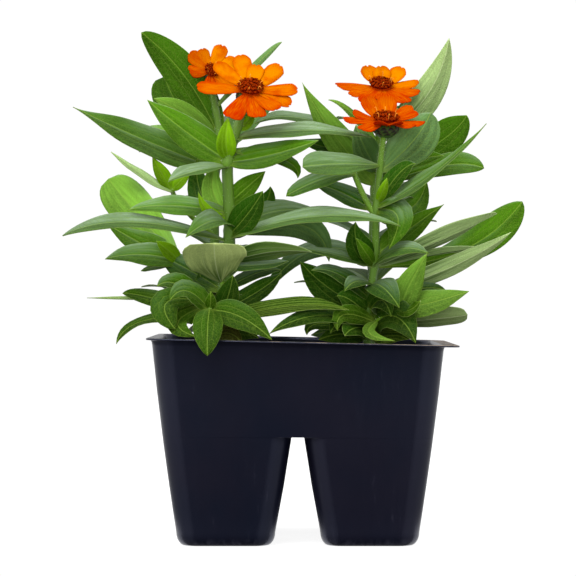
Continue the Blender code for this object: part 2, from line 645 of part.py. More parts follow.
def blade(name, collection, middle, across, normal, half_widths, fold, thickness, notch=0.0):
    """A thin blade, split alike on both faces: folded along its middle, or flat if the fold is none.

    A notch pulls the middle of the tip back by that length.
    """
    spread = math.cos(math.radians(fold)) * half_widths[:, None] * across
    rise = math.sin(math.radians(fold)) * half_widths[:, None] * normal
    lines = [middle + rise + spread, middle, middle + rise - spread]
    if fold == 0:
        lines = [lines[0], lines[2]]
    count = len(middle)
    wide = len(lines)
    skin = np.stack(lines, axis=1).reshape(-1, 3)
    lift = np.repeat(thickness / 2 * normal, wide, axis=0)
    grid = np.arange(count * wide).reshape(count, wide)
    top = []
    for row in range(count - 1):
        for step in range(wide - 1):
            a, b = grid[row, step], grid[row, step + 1]
            d, c = grid[row + 1, step], grid[row + 1, step + 1]
            if step:
                top += [(a, b, c), (a, c, d)]
            else:
                top += [(a, b, d), (b, c, d)]
    tip = list(grid[-1, 1:-1])
    if notch:
        skin = np.vstack([skin, middle[-1] - notch * unit(middle[-1] - middle[-2])])
        lift = np.vstack([lift, lift[-1]])
        tip = [len(skin) - 1]
        left, right = grid[-1]
        top[-1] = (grid[-2, 1], right, tip[0])
        top += [(grid[-2, 1], tip[0], left)]
    rim = [*grid[:, 0], *tip, *grid[::-1, -1], *grid[0, 1:-1]]
    under = len(skin)
    faces = []
    for face in top:
        faces.append(tuple(int(index) for index in face))
        faces.append(tuple(int(under + index) for index in reversed(face)))
    for a, b in zip(rim, rim[1:] + rim[:1]):
        faces.append((int(a), int(b), int(under + b)))
        faces.append((int(a), int(under + b), int(under + a)))
    return mesh_object(name, collection, np.concatenate([skin + lift, skin - lift]), faces)


def outline(shares, start_power, tip_power):
    """Share of the full width along the blade, one at the widest place."""
    widest = start_power / (start_power + tip_power)
    peak = widest**start_power * (1 - widest) ** tip_power
    return shares**start_power * (1 - shares) ** tip_power / peak


def leaf(collection, row):
    """One leaf from its row of the table."""
    start, middle, end, width, facing, fold, twist, start_power, tip_power = row
    length = math.dist(start, middle) + math.dist(middle, end)
    if length > LONG_LEAF:
        shares = np.array([0.0, 0.1, 0.3, 0.52, 0.76, 1.0])
    elif length > SHORT_LEAF:
        shares = np.array([0.0, 0.13, 0.42, 0.74, 1.0])
    else:
        shares = np.array([0.0, 0.3, 0.68, 1.0])
    points, along = bend(start, middle, end, shares)
    turn = math.radians(facing)
    aim = np.array([0.0, -math.sin(turn), math.cos(turn)])
    normal = unit(aim - (along @ aim)[:, None] * along)
    across = np.cross(along, normal)
    angle = (math.radians(twist) * np.clip(shares - 0.3, 0, 1))[:, None]
    normal, across = (
        normal * np.cos(angle) + across * np.sin(angle),
        across * np.cos(angle) - normal * np.sin(angle),
    )
    half_widths = width / 2 * outline(shares, start_power, tip_power)
    least = np.where(shares < 0.5, ROOT_HALF_WIDTH, TIP_HALF_WIDTH)
    half_widths = np.maximum(half_widths, least)
    if width < FLAT_WIDTH:
        fold = 0
    return blade("leaf", collection, points, across, normal, half_widths, fold, BLADE_THICKNESS)


def stem_point(place, height):
    """The middle of the main stem at a height."""
    rows = np.array(MAIN_STEMS[place], float)
    x = float(np.interp(height, rows[:, 2], rows[:, 0]))
    y = float(np.interp(height, rows[:, 2], rows[:, 1]))
    return np.array([x, y, height])


def paired_leaves(place):
    """Rows like those of the leaf table for the leaves placed by rule."""
    heights, angles, length, rise, width = PAIRED_LEAVES[place]
    draw = random.Random(PAIRED_LEAF_SEED)
    rows = []
    for number, height in enumerate(heights):
        for side in (-1, 1):
            angle = math.radians(angles[number % 2] * side + draw.uniform(-6, 6))
            reach = length * draw.uniform(0.88, 1.0)
            outward = np.array([math.sin(angle), math.cos(angle), 0.0])
            start = stem_point(place, height)
            lift = rise * draw.uniform(0.5, 1.2)
            middle = start + 0.5 * reach * outward + np.array([0.0, 0.0, lift * 0.85])
            end = start + reach * outward + np.array([0.0, 0.0, lift])
            rows.append((start, middle, end, width * draw.uniform(0.85, 1.1), 0, 0, 0, 0.62, 0.8))
    return rows


def bloom_frame(place):
    """The middle of the disc, the way the bloom faces and two directions across it."""
    centre = np.array(BLOOMS[place]["centre"], float)
    axis = unit(np.array(BLOOMS[place]["axis"], float))
    right = unit(np.cross((0.0, 1.0, 0.0), axis))
    up = np.cross(axis, right)
    return centre, axis, right, up


def turned_rings(centre, axis, right, up, profile, sides, ripple=0.0):
    """Rings round an axis from rows of radius and height, with an even ripple if asked."""
    angles = np.arange(sides) * 2 * math.pi / sides
    rings = []
    for radius, height in profile:
        radii = radius * (1 + ripple * np.cos(angles * sides / 2))
        flat = np.outer(radii * np.cos(angles), right) + np.outer(radii * np.sin(angles), up)
        rings.append(centre + height * axis + flat)
    return rings


def build_leafy_stem(collection, place):
    """Main stem, side shoots, leaves and the cup under the bloom, fused to one body."""
    rows = np.array(MAIN_STEMS[place], float)
    centre, axis, right, up = bloom_frame(place)
    size = BLOOMS[place]["size"]
    neck = centre - 8.0 * size * axis
    points = np.vstack([rows[:, :3], neck])
    radii = np.append(rows[:, 3], rows[-1, 3])
    stem = tube("stem", collection, points, radii)
    pieces = make_collection("pieces", hidden=True)
    cup = ((1.7, -9.0), (3.6, -8.0), (5.4, -5.6), (5.9, -3.6), (5.2, -2.2))
    profile = [(radius * size, height * size) for radius, height in cup]
    loft("cup", pieces, turned_rings(centre, axis, right, up, profile, 12, 0.04))
    for plant, radius, start, middle, end in SIDE_SHOOTS:
        if plant == place:
            path, _ = bend(start, middle, end, np.linspace(0, 1, 4))
            tube("shoot", pieces, path, [radius * 1.1, radius, radius, radius * 0.9], 6)
    for row in (*LEAVES[place], *paired_leaves(place)):
        leaf(pieces, row)
    apply_boolean(stem, "UNION", pieces, "MANIFOLD")
    remove_all(pieces)
    keep_main_body(stem)
    finish(stem, "leafy_stem_" + place, leaf_green())
    return stem


def petal(collection, frame, size, row):
    """One ray petal, widest near its notched tip."""
    centre, axis, right, up = frame
    angle, length, lift, width = row
    outward = math.cos(math.radians(angle)) * right + math.sin(math.radians(angle)) * up
    root_height = -1.1 * size
    start = centre + 3.4 * size * outward + root_height * axis
    middle = centre + (3.4 * size + length) / 2 * outward + (0.16 * lift - 0.4 * size) * axis
    end = centre + length * outward + lift * axis
    shares = np.array([0.0, 0.3, 0.7, 1.0])
    points, along = bend(start, middle, end, shares)
    normal = unit(axis - (along @ axis)[:, None] * along)
    across = np.cross(along, normal)
    half_widths = width / 2 * np.array([0.34, 0.76, 1.0, 0.56])
    return blade("petal", collection, points, across, normal, half_widths, 0, PETAL_THICKNESS, PETAL_NOTCH)


def build_petals(collection, place):
    """The petals of one bloom, fused to the small plate that holds them."""
    frame = bloom_frame(place)
    size = BLOOMS[place]["size"]
    plate = ((4.2, -1.9), (4.9, -1.1), (4.6, -0.3))
    profile = [(radius * size, height * size) for radius, height in plate]
    ring = loft("plate", collection, turned_rings(*frame, profile, 8))
    pieces = make_collection("pieces", hidden=True)
    for row in BLOOMS[place]["petals"]:
        petal(pieces, frame, size, row)
    apply_boolean(ring, "UNION", pieces, "MANIFOLD")
    remove_all(pieces)
    keep_main_body(ring)
    finish(ring, "petals_" + place, petal_orange())
    return ring


def build_disc(collection, place):
    """The domed centre of one bloom with two rings of small florets."""
    centre, axis, right, up = bloom_frame(place)
    size = BLOOMS[place]["size"]
    dome = ((5.1, 0.0), (5.2, 0.7), (3.9, 1.6), (1.2, 2.0))
    profile = [(radius * size, height * size) for radius, height in dome]
    disc = loft("dome", collection, turned_rings(centre, axis, right, up, profile, 10))
    pieces = make_collection("pieces", hidden=True)
    for count, radius, low, high, lean in ((9, 4.3, 0.5, 2.0, 0.7), (4, 2.2, 1.0, 2.5, 0.4)):
        for step in range(count):
            angle = 2 * math.pi * (step + 0.5) / count
            outward = math.cos(angle) * right + math.sin(angle) * up
            foot = centre + size * (radius * outward + low * axis)
            head = centre + size * ((radius + lean) * outward + high * axis)
            tube("floret", pieces, [foot, head], [0.62 * size, 0.46 * size], FLORET_SIDES)
    apply_boolean(disc, "UNION", pieces, "MANIFOLD")
    remove_all(pieces)
    keep_main_body(disc)
    finish(disc, "disc_" + place, floret_brown())
    return disc


def main():
    """Build every sub-part of the potted zinnia."""
    clear_scene()
    parts = make_collection("potted_zinnia")
    cutters = make_collection("cutters", hidden=True)
    build_pot(parts, cutters)
    build_growing_medium(parts, cutters)
    for place in MAIN_STEMS:
        build_leafy_stem(parts, place)
        build_petals(parts, place)
        build_disc(parts, place)
    remove_all(cutters)


main()
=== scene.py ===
"""Potted zinnia in a cell pack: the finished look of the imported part.

Lengths in the tables and in the shape functions are millimetres, and meshes are made in metres.
The tables of stems, leaves, petals and pot are those of the part's source, so every fine piece
keeps the form of the solid that it stands for.
"""

import math
import random

import bpy
import numpy as np
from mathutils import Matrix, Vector


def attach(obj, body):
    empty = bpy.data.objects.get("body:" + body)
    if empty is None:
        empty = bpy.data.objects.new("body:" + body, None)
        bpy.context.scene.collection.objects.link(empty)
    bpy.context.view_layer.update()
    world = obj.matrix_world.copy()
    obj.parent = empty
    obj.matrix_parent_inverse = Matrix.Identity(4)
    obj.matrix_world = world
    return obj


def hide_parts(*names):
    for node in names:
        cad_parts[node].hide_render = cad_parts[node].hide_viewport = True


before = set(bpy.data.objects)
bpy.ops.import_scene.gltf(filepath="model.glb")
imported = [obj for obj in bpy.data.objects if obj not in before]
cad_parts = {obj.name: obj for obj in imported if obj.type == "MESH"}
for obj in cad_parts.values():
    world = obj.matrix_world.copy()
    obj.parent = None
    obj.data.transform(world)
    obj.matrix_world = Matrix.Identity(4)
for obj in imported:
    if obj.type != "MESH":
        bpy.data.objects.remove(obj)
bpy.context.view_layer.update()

bl_info = {
    "name": "Potted Zinnia",
    "version": (1, 0, 0),
    "blender": (4, 5, 0),
    "location": "3D View > Sidebar > Zinnia",
    "description": "Builds the leaves, blooms, soil and cell pack of a potted zinnia",
    "category": "Add Mesh",
}

MM = 0.001
PLACES = ("left_front", "right_front", "left_back", "right_back")

# Main stems from the growing medium to the bloom: each row holds x, y, z and the radius.
MAIN_STEMS = {
    "left_front": (
        (-35.5, -30, 77, 2.4), (-35, -30, 90, 2.4), (-32.5, -30, 106, 2.4), (-30.5, -30, 122, 2.4),
        (-29.5, -30, 140, 2.4), (-30.5, -30, 160, 2.4), (-30, -30, 167, 2.3),
        (-26.5, -29.5, 179, 1.8), (-23.5, -28, 188, 1.8),
    ),
    "right_front": (
        (30, -30, 76, 2.0), (30.5, -30, 92, 1.9), (31.5, -30, 106, 1.8), (33.5, -30, 124, 1.75),
        (34, -30, 142, 1.7), (35.5, -30, 160, 1.35), (37, -30.5, 174, 1.25),
    ),
    "left_back": (
        (-35.5, 29, 77, 2.2), (-36.5, 28, 105, 2.1), (-37.5, 28, 128, 2.1), (-37.5, 28, 148, 2.0),
        (-37, 27, 166, 1.9), (-35.5, 27, 181, 1.6), (-38, 27.5, 196, 1.4), (-39.5, 27, 204, 1.2),
    ),
    "right_back": (
        (33, 29, 77, 2.2), (34, 28, 105, 2.1), (34.5, 28, 128, 2.1), (35, 28, 148, 2.0),
        (36, 28, 166, 1.9), (37.5, 26.5, 182, 1.6), (37.8, 24.5, 192, 1.5),
    ),
}

# Side shoots: each row holds the plant, the radius, then where the shoot starts, bends and ends.
SIDE_SHOOTS = (
    ("left_front", 1.3, (-34.5, -29, 97), (-44.5, -18, 112), (-52, -8, 123)),
    ("left_front", 1.2, (-34.5, -31, 94), (-36, -44, 97), (-37.5, -56, 102)),
    ("left_front", 1.1, (-34, -31, 97), (-33, -34, 105), (-32.5, -34.5, 117)),
    ("left_front", 1.0, (-34.5, -31, 92), (-39.5, -42, 98), (-42, -48, 105)),
    ("left_front", 0.9, (-35, -28, 92), (-51.5, -20, 102), (-61.5, -16, 106)),
    ("right_front", 1.3, (33.5, -30, 142), (28, -28, 152), (24, -26, 162)),
    ("right_front", 1.2, (31, -31, 94), (38, -40, 98), (45, -44, 102)),
    ("left_back", 1.1, (-37.5, 27, 134), (-51, 20, 146), (-56.5, 15, 155)),
)

# Leaves: each row holds the start, the middle and the tip of the midrib, the width, the way the
# upper side faces in degrees from straight up towards the front, the angle that each half folds
# up and the leaf's tone. Where a leaf isn't plain, its twist towards the tip follows, and the two
# powers that shape its outline at the start and the tip.
PLAIN_LEAF = (0, 0.62, 1)
# Tones such as bright, deep, greyed, light and folded are painted light and shade: lit, shaded and
# sheened copies of the leaf green.
LEAVES = {
    "left_front": (
        ((-30, -30, 165.5), (-48, -24, 178), (-66, -16, 193), 15, 75, 12, "bright"),
        ((-30, -30, 165), (-11, -36, 168), (9, -40, 174), 14, 55, 14, "bright"),
        ((-30.5, -30, 163), (-44, -48, 160), (-55, -60, 155.5), 14, 25, 20, "greyed"),
        ((-30, -30, 166.5), (-31, -37, 174), (-30, -38, 184), 9, 90, 12, "young"),
        ((-26.5, -29.5, 179.5), (-22, -26, 183), (-19, -24, 188), 6, 90, 12, "young"),
        ((-27.7, -29.5, 175), (4, -33, 178.5), (32, -24, 176), 15, 28, 14, "greyed"),
        ((-29, -30, 170), (-6, -29, 166), (0, -30, 158), 8, 50, 14, "bright"),
        ((-29.5, -30, 142.5), (-54, -34, 146), (-73, -38, 144), 12, 48, 12, "bright"),
        ((-29.5, -30, 139), (-42, -14, 151), (-44, -8, 168), 13, 85, 14, "deep"),
        ((-29.5, -30, 141), (-37, -23, 153), (-35, -21, 165), 11, 88, 14, "light"),
        ((-29.5, -30, 139.5), (-38.5, -34, 143.5), (-43, -34, 152), 5, 85, 12, "young"),
        ((-30, -30, 147), (-22, -31, 154), (-14, -33, 161), 10, 75, 12, "bright"),
        ((-30, -30, 133), (-21, -40, 143), (-15, -46, 152), 13, 80, 12, "deep"),
        ((-30, -30, 134), (-16, -20, 145), (-12, -17, 155), 11, 72, 12, "deep"),
        ((-30, -30, 133), (-8, -22, 144), (15, -18, 140), 15, 38, 14, "greyed"),
        ((-30, -30, 132), (10, -47, 141), (44, -45, 137), 15, 30, 14, "greyed"),
        ((-30, -30, 135), (2, -10, 138), (14, -4, 122), 15, 68, 10, "misty"),
        ((-29.5, -30, 137), (-37, -42, 139), (-48, -48, 132), 14, 45, 22, "greyed"),
        (
            (-30, -30, 130.5), (-71, -40, 138.6), (-102, -31, 133),
            13, 32, 14, "greyed", 0, 0.75, 0.6,
        ),
        (
            (-33, -34.5, 113), (-35, -49, 120), (-35.5, -60, 129.4),
            28, -72, 10, "folded", 0, 1, 0.34,
        ),
        ((-30.5, -30, 121.5), (-12, -42, 126), (6, -45, 126), 12, -42, 14, "bright"),
        ((-30.5, -30, 120), (-17, -36, 120), (-4, -38, 122), 13, 30, 14, "deep"),
        ((-32, -30, 109.5), (-17, -24, 117), (-7, -20, 118), 8, 42, 14, "deep"),
        ((-33.5, -30, 100), (-17, -28, 109), (-7, -24, 117), 10, 60, 14, "deep"),
        ((-32, -30, 109), (-49, -16, 119), (-60, -8, 124), 15, 62, 12, "deep"),
        ((-35, -28.5, 97.5), (-40, -25, 108), (-43, -20, 118), 11, 80, 14, "deep"),
        ((-34, -31, 97), (-30, -36, 107), (-28, -38, 116), 11, 80, 14, "deep"),
        ((-35, -36, 95), (-4, -46, 102.5), (22, -48, 101), 13, 35, 14, "striped"),
        ((-51.5, -8.5, 122.5), (-67, -2, 129), (-85, 4, 139), 14, 66, 10, "bright"),
        ((-51.5, -9, 122), (-68, -16, 125), (-84, -24, 123), 14, 52, 12, "bright"),
        ((-51.5, -9, 122), (-63, 3, 120), (-70, 8, 118), 6, 50, 12, "middling"),
        ((-51.5, -9, 122), (-57, -15, 127), (-62, -18, 131), 7, 80, 12, "young"),
        ((-52, -8, 123), (-71, 6, 143), (-85, 14, 159.5), 20, 74, 8, "light", 0, 0.8, 0.42),
        ((-37.5, -54, 101), (-24, -62, 98), (-11, -66, 88.5), 13, 66, 12, "middling"),
        (
            (-37.5, -55.5, 101.5), (-38, -68, 94), (-38, -74, 82),
            13, 85, 12, "middling", 0, 0.7, 0.75,
        ),
        ((-37.5, -54.5, 101), (-47, -60, 109), (-54, -64, 105), 13, 48, 14, "middling"),
        ((-37.5, -55, 101.5), (-37, -58, 105), (-37, -59, 109), 5, 85, 12, "bright"),
        ((-42, -48, 105), (-56, -56, 104), (-52, -62, 93), 13, 66, 12, "middling", 0, 0.7, 0.6),
        ((-41.5, -46.5, 102.5), (-52, -48, 112), (-60, -52, 111), 12, 55, 12, "middling"),
        ((-41.5, -46, 102), (-51, -58, 95.5), (-43, -63, 89.8), 11, 80, 12, "bright"),
        ((-34, -30, 95.5), (-65, -25, 96.5), (-79, -26, 86), 9, 30, 14, "middling"),
        ((-35.5, -28, 98.5), (-64, -17, 106), (-77, -14, 108), 9, 60, 14, "bright"),
        ((-61, -16, 106), (-75, -12, 106), (-93, -8, 106), 2, 60, 10, "pale"),
        ((-35, -29.5, 92), (-26, -28, 92.5), (-17, -28, 88.5), 12, 70, 12, "deep"),
        ((-34.5, -31, 90), (-29, -35, 90.5), (-24, -38, 86.5), 8, 60, 12, "dry"),
        ((-35.5, -29, 93), (-43, -18, 94), (-49, -8, 91), 12, 50, 12, "deep"),
        ((-35, -29, 94), (-27, -16, 94.5), (-18, -8, 92), 13, 50, 12, "deep"),
    ),
    "right_front": (
        ((36, -30, 163.5), (19, -44, 163.5), (2, -52, 162), 16, 48, 14, "greyed", 0, 0.9, 0.45),
        ((24.5, -26.5, 160), (12, -34, 158), (-5, -38, 150), 11, 42, 14, "middling", 0, 0.62, 0.5),
        ((32, -29.5, 144.5), (19, -24, 152), (7, -20, 156), 11, 52, 14, "deep"),
        ((34.5, -30, 145), (59, -40, 160), (81, -44, 181), 13, 30, 18, "greyed", 0, 0.55, 1.6),
        ((35.5, -30, 161), (50, -22, 174), (58.5, -15, 187.5), 20, 72, 8, "misty", 0, 0.8, 0.7),
        ((34.5, -30, 147.5), (37, -36, 153), (38.5, -38, 158), 4.5, 85, 12, "young"),
        ((34.5, -30, 146.5), (44, -34, 160), (51, -36, 164), 9, 62, 12, "deep"),
        ((32.5, -29.5, 143.5), (49, -16, 145), (57, -8, 158), 14, 80, 12, "bright"),
        ((33.5, -30, 124.5), (50, -24, 137), (64, -22, 147), 12, 68, 12, "bright", 0, 0.62, 1.3),
        ((34, -30, 144.5), (43, -41, 141), (39, -45, 127), 15, 72, 12, "middling"),
        ((33, -30, 120), (64, -26, 132), (87, -22, 143), 14, -42, 20, "pale", 50, 0.8, 0.5),
        ((33, -30, 120), (73, 0, 127), (101.4, 17, 149.4), 16, 78, 8, "bright", 0, 1.7, 0.68),
        ((31.5, -30, 107), (68, -18, 120), (94, -12, 135), 10, -62, 14, "pale"),
        ((33, -30, 119), (63, -8, 126), (82, 0, 128), 7, -40, 14, "pale"),
        ((33, -30, 120), (44, -42, 127), (56, -48, 125), 12, 42, 14, "middling"),
        ((44, -43.5, 101.5), (48, -48, 112), (55, -52, 125), 12, 86, 12, "light"),
        ((44, -43.5, 101.5), (48, -52, 101), (52, -58, 105), 9, 60, 14, "bright"),
        ((44, -43.5, 101.5), (57, -48, 104), (73, -52, 109), 13, 62, 12, "light"),
        ((31.5, -30, 105), (53, -26, 110), (65, -22, 109), 9, 50, 14, "deep"),
        ((31, -30, 95.5), (57, -38, 97), (73, -42, 99), 12, -46, 14, "pale", 0, 0.8, 0.45),
        ((32, -30, 112), (37, -50, 110), (43, -60, 102), 13, 68, 14, "deep"),
        ((32, -30, 112), (25, -44, 113), (20, -50, 109), 9, 50, 14, "deep"),
        ((31, -30, 101), (14, -26, 110), (1, -24, 122), 17, 68, 10, "deep"),
        ((31.5, -30, 105), (18, -36, 116), (6, -40, 118), 11, 42, 14, "deep"),
        ((33, -30, 121.5), (26, -36, 129), (25, -38, 139), 12, 84, 12, "deep"),
        ((33, -30, 120.5), (29, -40, 126), (25, -42, 132), 6, 80, 12, "bright"),
        ((33, -30, 119.5), (14, -38, 125), (-2, -42, 127), 9, 32, 14, "middling"),
        ((32, -32.5, 94.5), (9, -48, 98.5), (-12, -54, 91), 13, 40, 14, "deep"),
        ((33.5, -34.5, 95.5), (20, -46, 99), (17, -50, 92), 9, 75, 12, "bright"),
        ((32, -32.5, 94.5), (42, -48, 98), (50, -58, 87), 17, 70, 12, "deep"),
        ((34.5, -36.1, 96), (30.5, -54, 91), (41, -60, 88), 5.5, 60, 14, "light"),
        ((30.5, -30, 92), (10, -34, 95), (4, -36, 90), 8, 50, 14, "deep"),
        ((30.5, -30, 91.5), (20, -40, 96), (14, -46, 91), 11, 70, 12, "deep"),
        ((31, -30, 98), (23, -36, 105), (17, -38, 107), 12, 70, 12, "deep"),
        ((31, -30, 100), (36, -42, 105), (40, -48, 98), 12, 70, 12, "deep"),
        ((30.5, -29.5, 90), (19, -33, 90.5), (9, -35, 88), 10, 80, 12, "deep"),
        ((30.5, -30, 93), (24, -44, 93), (20, -54, 90), 12, 75, 12, "deep"),
        ((30.5, -29, 93), (18, -16, 92), (6, -6, 89.5), 13, 50, 12, "deep"),
        ((30.5, -29, 93.5), (42, -16, 95), (52, -4, 92), 13, 45, 12, "deep"),
        ((31, -31, 90), (42, -42, 92), (50, -50, 88.6), 13, 80, 12, "striped"),
    ),
    "left_back": (
        (
            (-35.5, 27, 179), (-51, 32, 206.5), (-70.8, 26, 226.4),
            17.5, 80, 8, "middling", 0, 0.5, 0.62,
        ),
        ((-36, 27, 174), (-53, 40, 192), (-61, 47, 208), 19, 75, 10, "middling", 0, 0.8, 0.42),
        ((-36.5, 27, 173), (-50, 10, 187), (-64, 4, 195), 13, 72, 12, "light"),
        ((-37, 27, 165), (-68, 14, 176.5), (-100, 2, 191), 19, 52, 12, "greyed", 0, 1, 1.4),
        ((-37, 27, 164), (-55, 34, 177), (-70, 38, 184), 17, 60, 10, "light"),
        ((-56, 15.5, 153.5), (-70, 8, 161), (-83, 2, 171), 7, 38, 14, "pale"),
        ((-56.5, 15.5, 154.5), (-61, 12, 162), (-65, 10, 169), 7, 80, 12, "young"),
        ((-56.5, 15.5, 154.5), (-52, 12, 159), (-48, 11, 163), 6, 72, 12, "young"),
        ((-36.5, 27, 173), (-22, 34, 188), (-7, 40, 200), 12, 70, 12, "misty"),
        ((-37.5, 27.5, 192), (-16, 34, 215), (-7, 38, 223), 3.8, 60, 12, "misty"),
    ),
    "right_back": (
        ((35.5, 28, 157.5), (15, 8, 181), (2, 0, 202), 14, 80, 10, "light", 0, 0.62, 1.4),
        ((37, 27, 175), (24, 20, 189.5), (14, 14, 195), 5, 50, 14, "light"),
        ((37, 27, 177.5), (59, 31, 198), (69, 27, 224), 15, -84, 12, "pale", 0, 0.7, 0.95),
        ((35.5, 28, 159.5), (64, 18, 176), (76, 12, 188), 17, 74, 8, "middling", 0, 0.9, 0.9),
        ((35.5, 28, 156), (64, 6, 164.8), (83, 0, 163.6), 13, 58, 12, "bright", 0, 1.3, 0.8),
        ((35.5, 28, 161.5), (52, 2, 167), (65, -4, 169), 10, 62, 12, "bright"),
        ((36.5, 27.5, 172), (4, 6, 185.5), (-19, -6, 183), 15, 28, 14, "middling"),
        ((34.5, 28, 122), (7, 8, 127), (-16, 0, 106), 14, 36, 14, "deep"),
        ((36, 28, 165), (30, 4, 173), (26, 0, 183), 13, 80, 12, "misty"),
        ((36, 28, 168), (20, 20, 172), (0, 14, 177), 13, 62, 12, "deep"),
    ),
}

# Leaves placed by rule, in pairs up the main stem, on the side turned to the back: heights, the
# angles from the back that pairs take in turn, the length, the rise and the width.
PAIRED_LEAVES = {
    "left_back": ((96, 110, 128, 146, 163, 178), (52, 22), 48, 13, 14),
    "right_back": ((98, 112, 130, 148, 165, 180), (50, 24), 48, 13, 14),
    "left_front": ((104, 120, 138), (48, 20), 29, 9, 11),
    "right_front": ((106, 124, 142), (46, 20), 29, 9, 11),
}
PAIRED_LEAF_SEED = 11

# Blooms: where the middle of the disc sits, the way it faces, its size, how golden it is, and its
# petals. Each petal row holds the angle round the disc, the length, the height of the tip and the
# width.
BLOOMS = {
    "left_front": {
        "centre": (-20.5, -29, 197.5),
        "axis": (0.1, -0.62, 0.78),
        "size": 1,
        "gold": 0.5,
        "petals": (
            (3, 20.3, 1, 9), (57, 20, 2.5, 9), (85, 15.2, 2, 7.5), (107, 22, 2, 8.5),
            (142, 20.8, 2, 9), (-165, 23.4, 0.5, 9.5), (-105, 25.2, 0, 9), (-76, 21.8, 0, 8.5),
            (-49, 19.4, 0.5, 8.5), (-22, 19.5, -1.5, 8),
        ),
    },
    "right_front": {
        "centre": (38.3, -31, 184),
        "axis": (0.04, -0.41, 0.91),
        "size": 0.98,
        "gold": -0.3,
        "petals": (
            (-14, 17.1, 0.5, 7.5), (14, 14.2, 1.8, 8), (46, 15, 2.3, 8.5), (88, 16, 5, 9),
            (124, 15.5, 5, 8.5), (172, 14.4, 2, 7.5), (-166, 18.8, 0.5, 7.5), (-131, 16.2, -1, 8),
            (-101, 11.5, 2.8, 7.5), (-66, 11.5, 2.5, 7.5), (-36, 14.6, 0, 7.5),
        ),
    },
    "left_back": {
        "centre": (-38.7, 26, 209.3),
        "axis": (0.3, -0.8, 0.5),
        "size": 0.62,
        "gold": 0.5,
        "petals": (
            (176, 12.6, 1.5, 8), (146, 11, 1.8, 7), (98, 15, 1, 7), (61, 13.7, 1, 7),
            (25, 13.0, 1, 7), (-20, 13.3, 1, 7), (-66, 12.8, 1, 7), (-138, 11.5, 1, 7),
        ),
    },
    "right_back": {
        "centre": (37.9, 23, 202.6),
        "axis": (0.05, -0.5, 0.87),
        "size": 0.95,
        "gold": 0.5,
        "petals": (
            (8, 17.0, 1.5, 9), (50, 14.5, 3.8, 9), (88, 11, 4, 8.5), (122, 13.3, 3.6, 9),
            (-167, 20.8, 1, 9.5), (-138, 18.6, 0, 6), (-114, 19.4, -1, 7.5), (-84, 16.8, 0, 8.5),
            (-56, 20.5, 0, 9), (-24, 18.6, 0.5, 9),
        ),
    },
}

# Pot: the flange, the upper body and the cells, as in the source.
RIM_HEIGHT = 87.6
RIM_DROOP = 0.024
FLANGE_LOW = (-64.6, -66.5)
FLANGE_HIGH = (68.8, 66.5)
FLANGE_RADIUS = 9.5
FLANGE_THICKNESS = 0.8
SADDLE_HEIGHT = 46.9
# Each row: height, half width, corner radius.
BODY_RINGS = (
    (46.9, 57.9, 9.0), (66.0, 60.2, 9.6), (84.6, 62.1, 9.9), (86.0, 62.35, 10.0),
    (86.6, 62.8, 10.1), (87.0, 63.6, 10.2),
)
# The rounded foot of a cell, an ellipse: its height, then inner edge, outer edge and corner radius
# on the ground, and how much each grows up to that height.
CELL_FOOT_HEIGHT = 5.8
CELL_FOOT = (13.4, 48.4, 5.6)
CELL_FOOT_GROWTH = (-3.75, 3.8, 2.6)
# Each row: height, inner edge, outer edge, corner radius.
CELL_RINGS = (
    (15.0, 7.95, 53.6, 8.4), (26.0, 5.9, 55.15, 8.7), (36.0, 4.35, 56.5, 8.9),
    (44.4, 3.0, 57.6, 9.0), (46.2, 2.75, 57.8, 9.0), (46.7, 2.35, 57.85, 9.0),
    (47.0, 1.5, 57.9, 9.0), (47.15, -0.2, 57.9, 9.0), (50.0, -0.6, 58.2, 9.1),
)
DRAIN_HOLE_RADIUS = 4.0
SOIL_TOP_DEPTH = 6.5
SOIL_MOUND = 2.0
SOIL_LUMP = 0.9

# Rings of florets on a disc: how many, the distance from the middle, foot and head heights, lean.
FLORET_RINGS = (
    (19, 4.75, 0.2, 1.6, 1.0), (17, 4.1, 0.5, 2.1, 0.8), (14, 3.3, 0.8, 2.5, 0.55),
    (10, 2.4, 1.0, 2.7, 0.4), (6, 1.4, 1.2, 2.8, 0.25), (1, 0.0, 1.3, 2.8, 0.0),
)


def linear(code):
    """The linear colour of a six digit colour code."""
    shares = [int(code[place : place + 2], 16) / 255 for place in (0, 2, 4)]
    return tuple(s / 12.92 if s <= 0.04045 else ((s + 0.055) / 1.055) ** 2.4 for s in shares)


def unit(vectors):
    """The vectors scaled to length one."""
    return vectors / np.linalg.norm(vectors, axis=-1, keepdims=True)


def parabola(start, middle, end, shares):
    """Points and directions on the parabola through three points, the middle one at half way.

    P(u) = (1-u)^2 start + 2u(1-u) pull + u^2 end, with pull = 2 middle - (start + end) / 2.
    """
    start, middle, end = (np.asarray(p, float) for p in (start, middle, end))
    pull = 2 * middle - (start + end) / 2
    u = np.asarray(shares, float)[..., None]
    points = (1 - u) ** 2 * start + 2 * u * (1 - u) * pull + u**2 * end
    along = unit(2 * (1 - u) * (pull - start) + 2 * u * (end - pull))
    return points, along


def smooth_path(rows, count):
    """A Catmull-Rom curve through the rows, sampled evenly from the first row to the last."""
    rows = np.asarray(rows, float)
    padded = np.vstack([2 * rows[0] - rows[1], rows, 2 * rows[-1] - rows[-2]])
    t = np.linspace(0, len(rows) - 1 - 1e-9, count)
    k = t.astype(int)
    u = (t - k)[:, None]
    a, b, c, d = (padded[k + step] for step in range(4))
    bent = 2 * b + (c - a) * u + (2 * a - 5 * b + 4 * c - d) * u**2
    return 0.5 * (bent + (3 * b - a - 3 * c + d) * u**3)


def outline(shares, start_power, tip_power):
    """Share of the full width along the blade: u^a (1-u)^b over its own peak."""
    widest = start_power / (start_power + tip_power)
    peak = widest**start_power * (1 - widest) ** tip_power
    return shares**start_power * (1 - shares) ** tip_power / peak


def bell(values, width):
    """A bump of height one and the given width round nought."""
    return np.exp(-((values / width) ** 2))


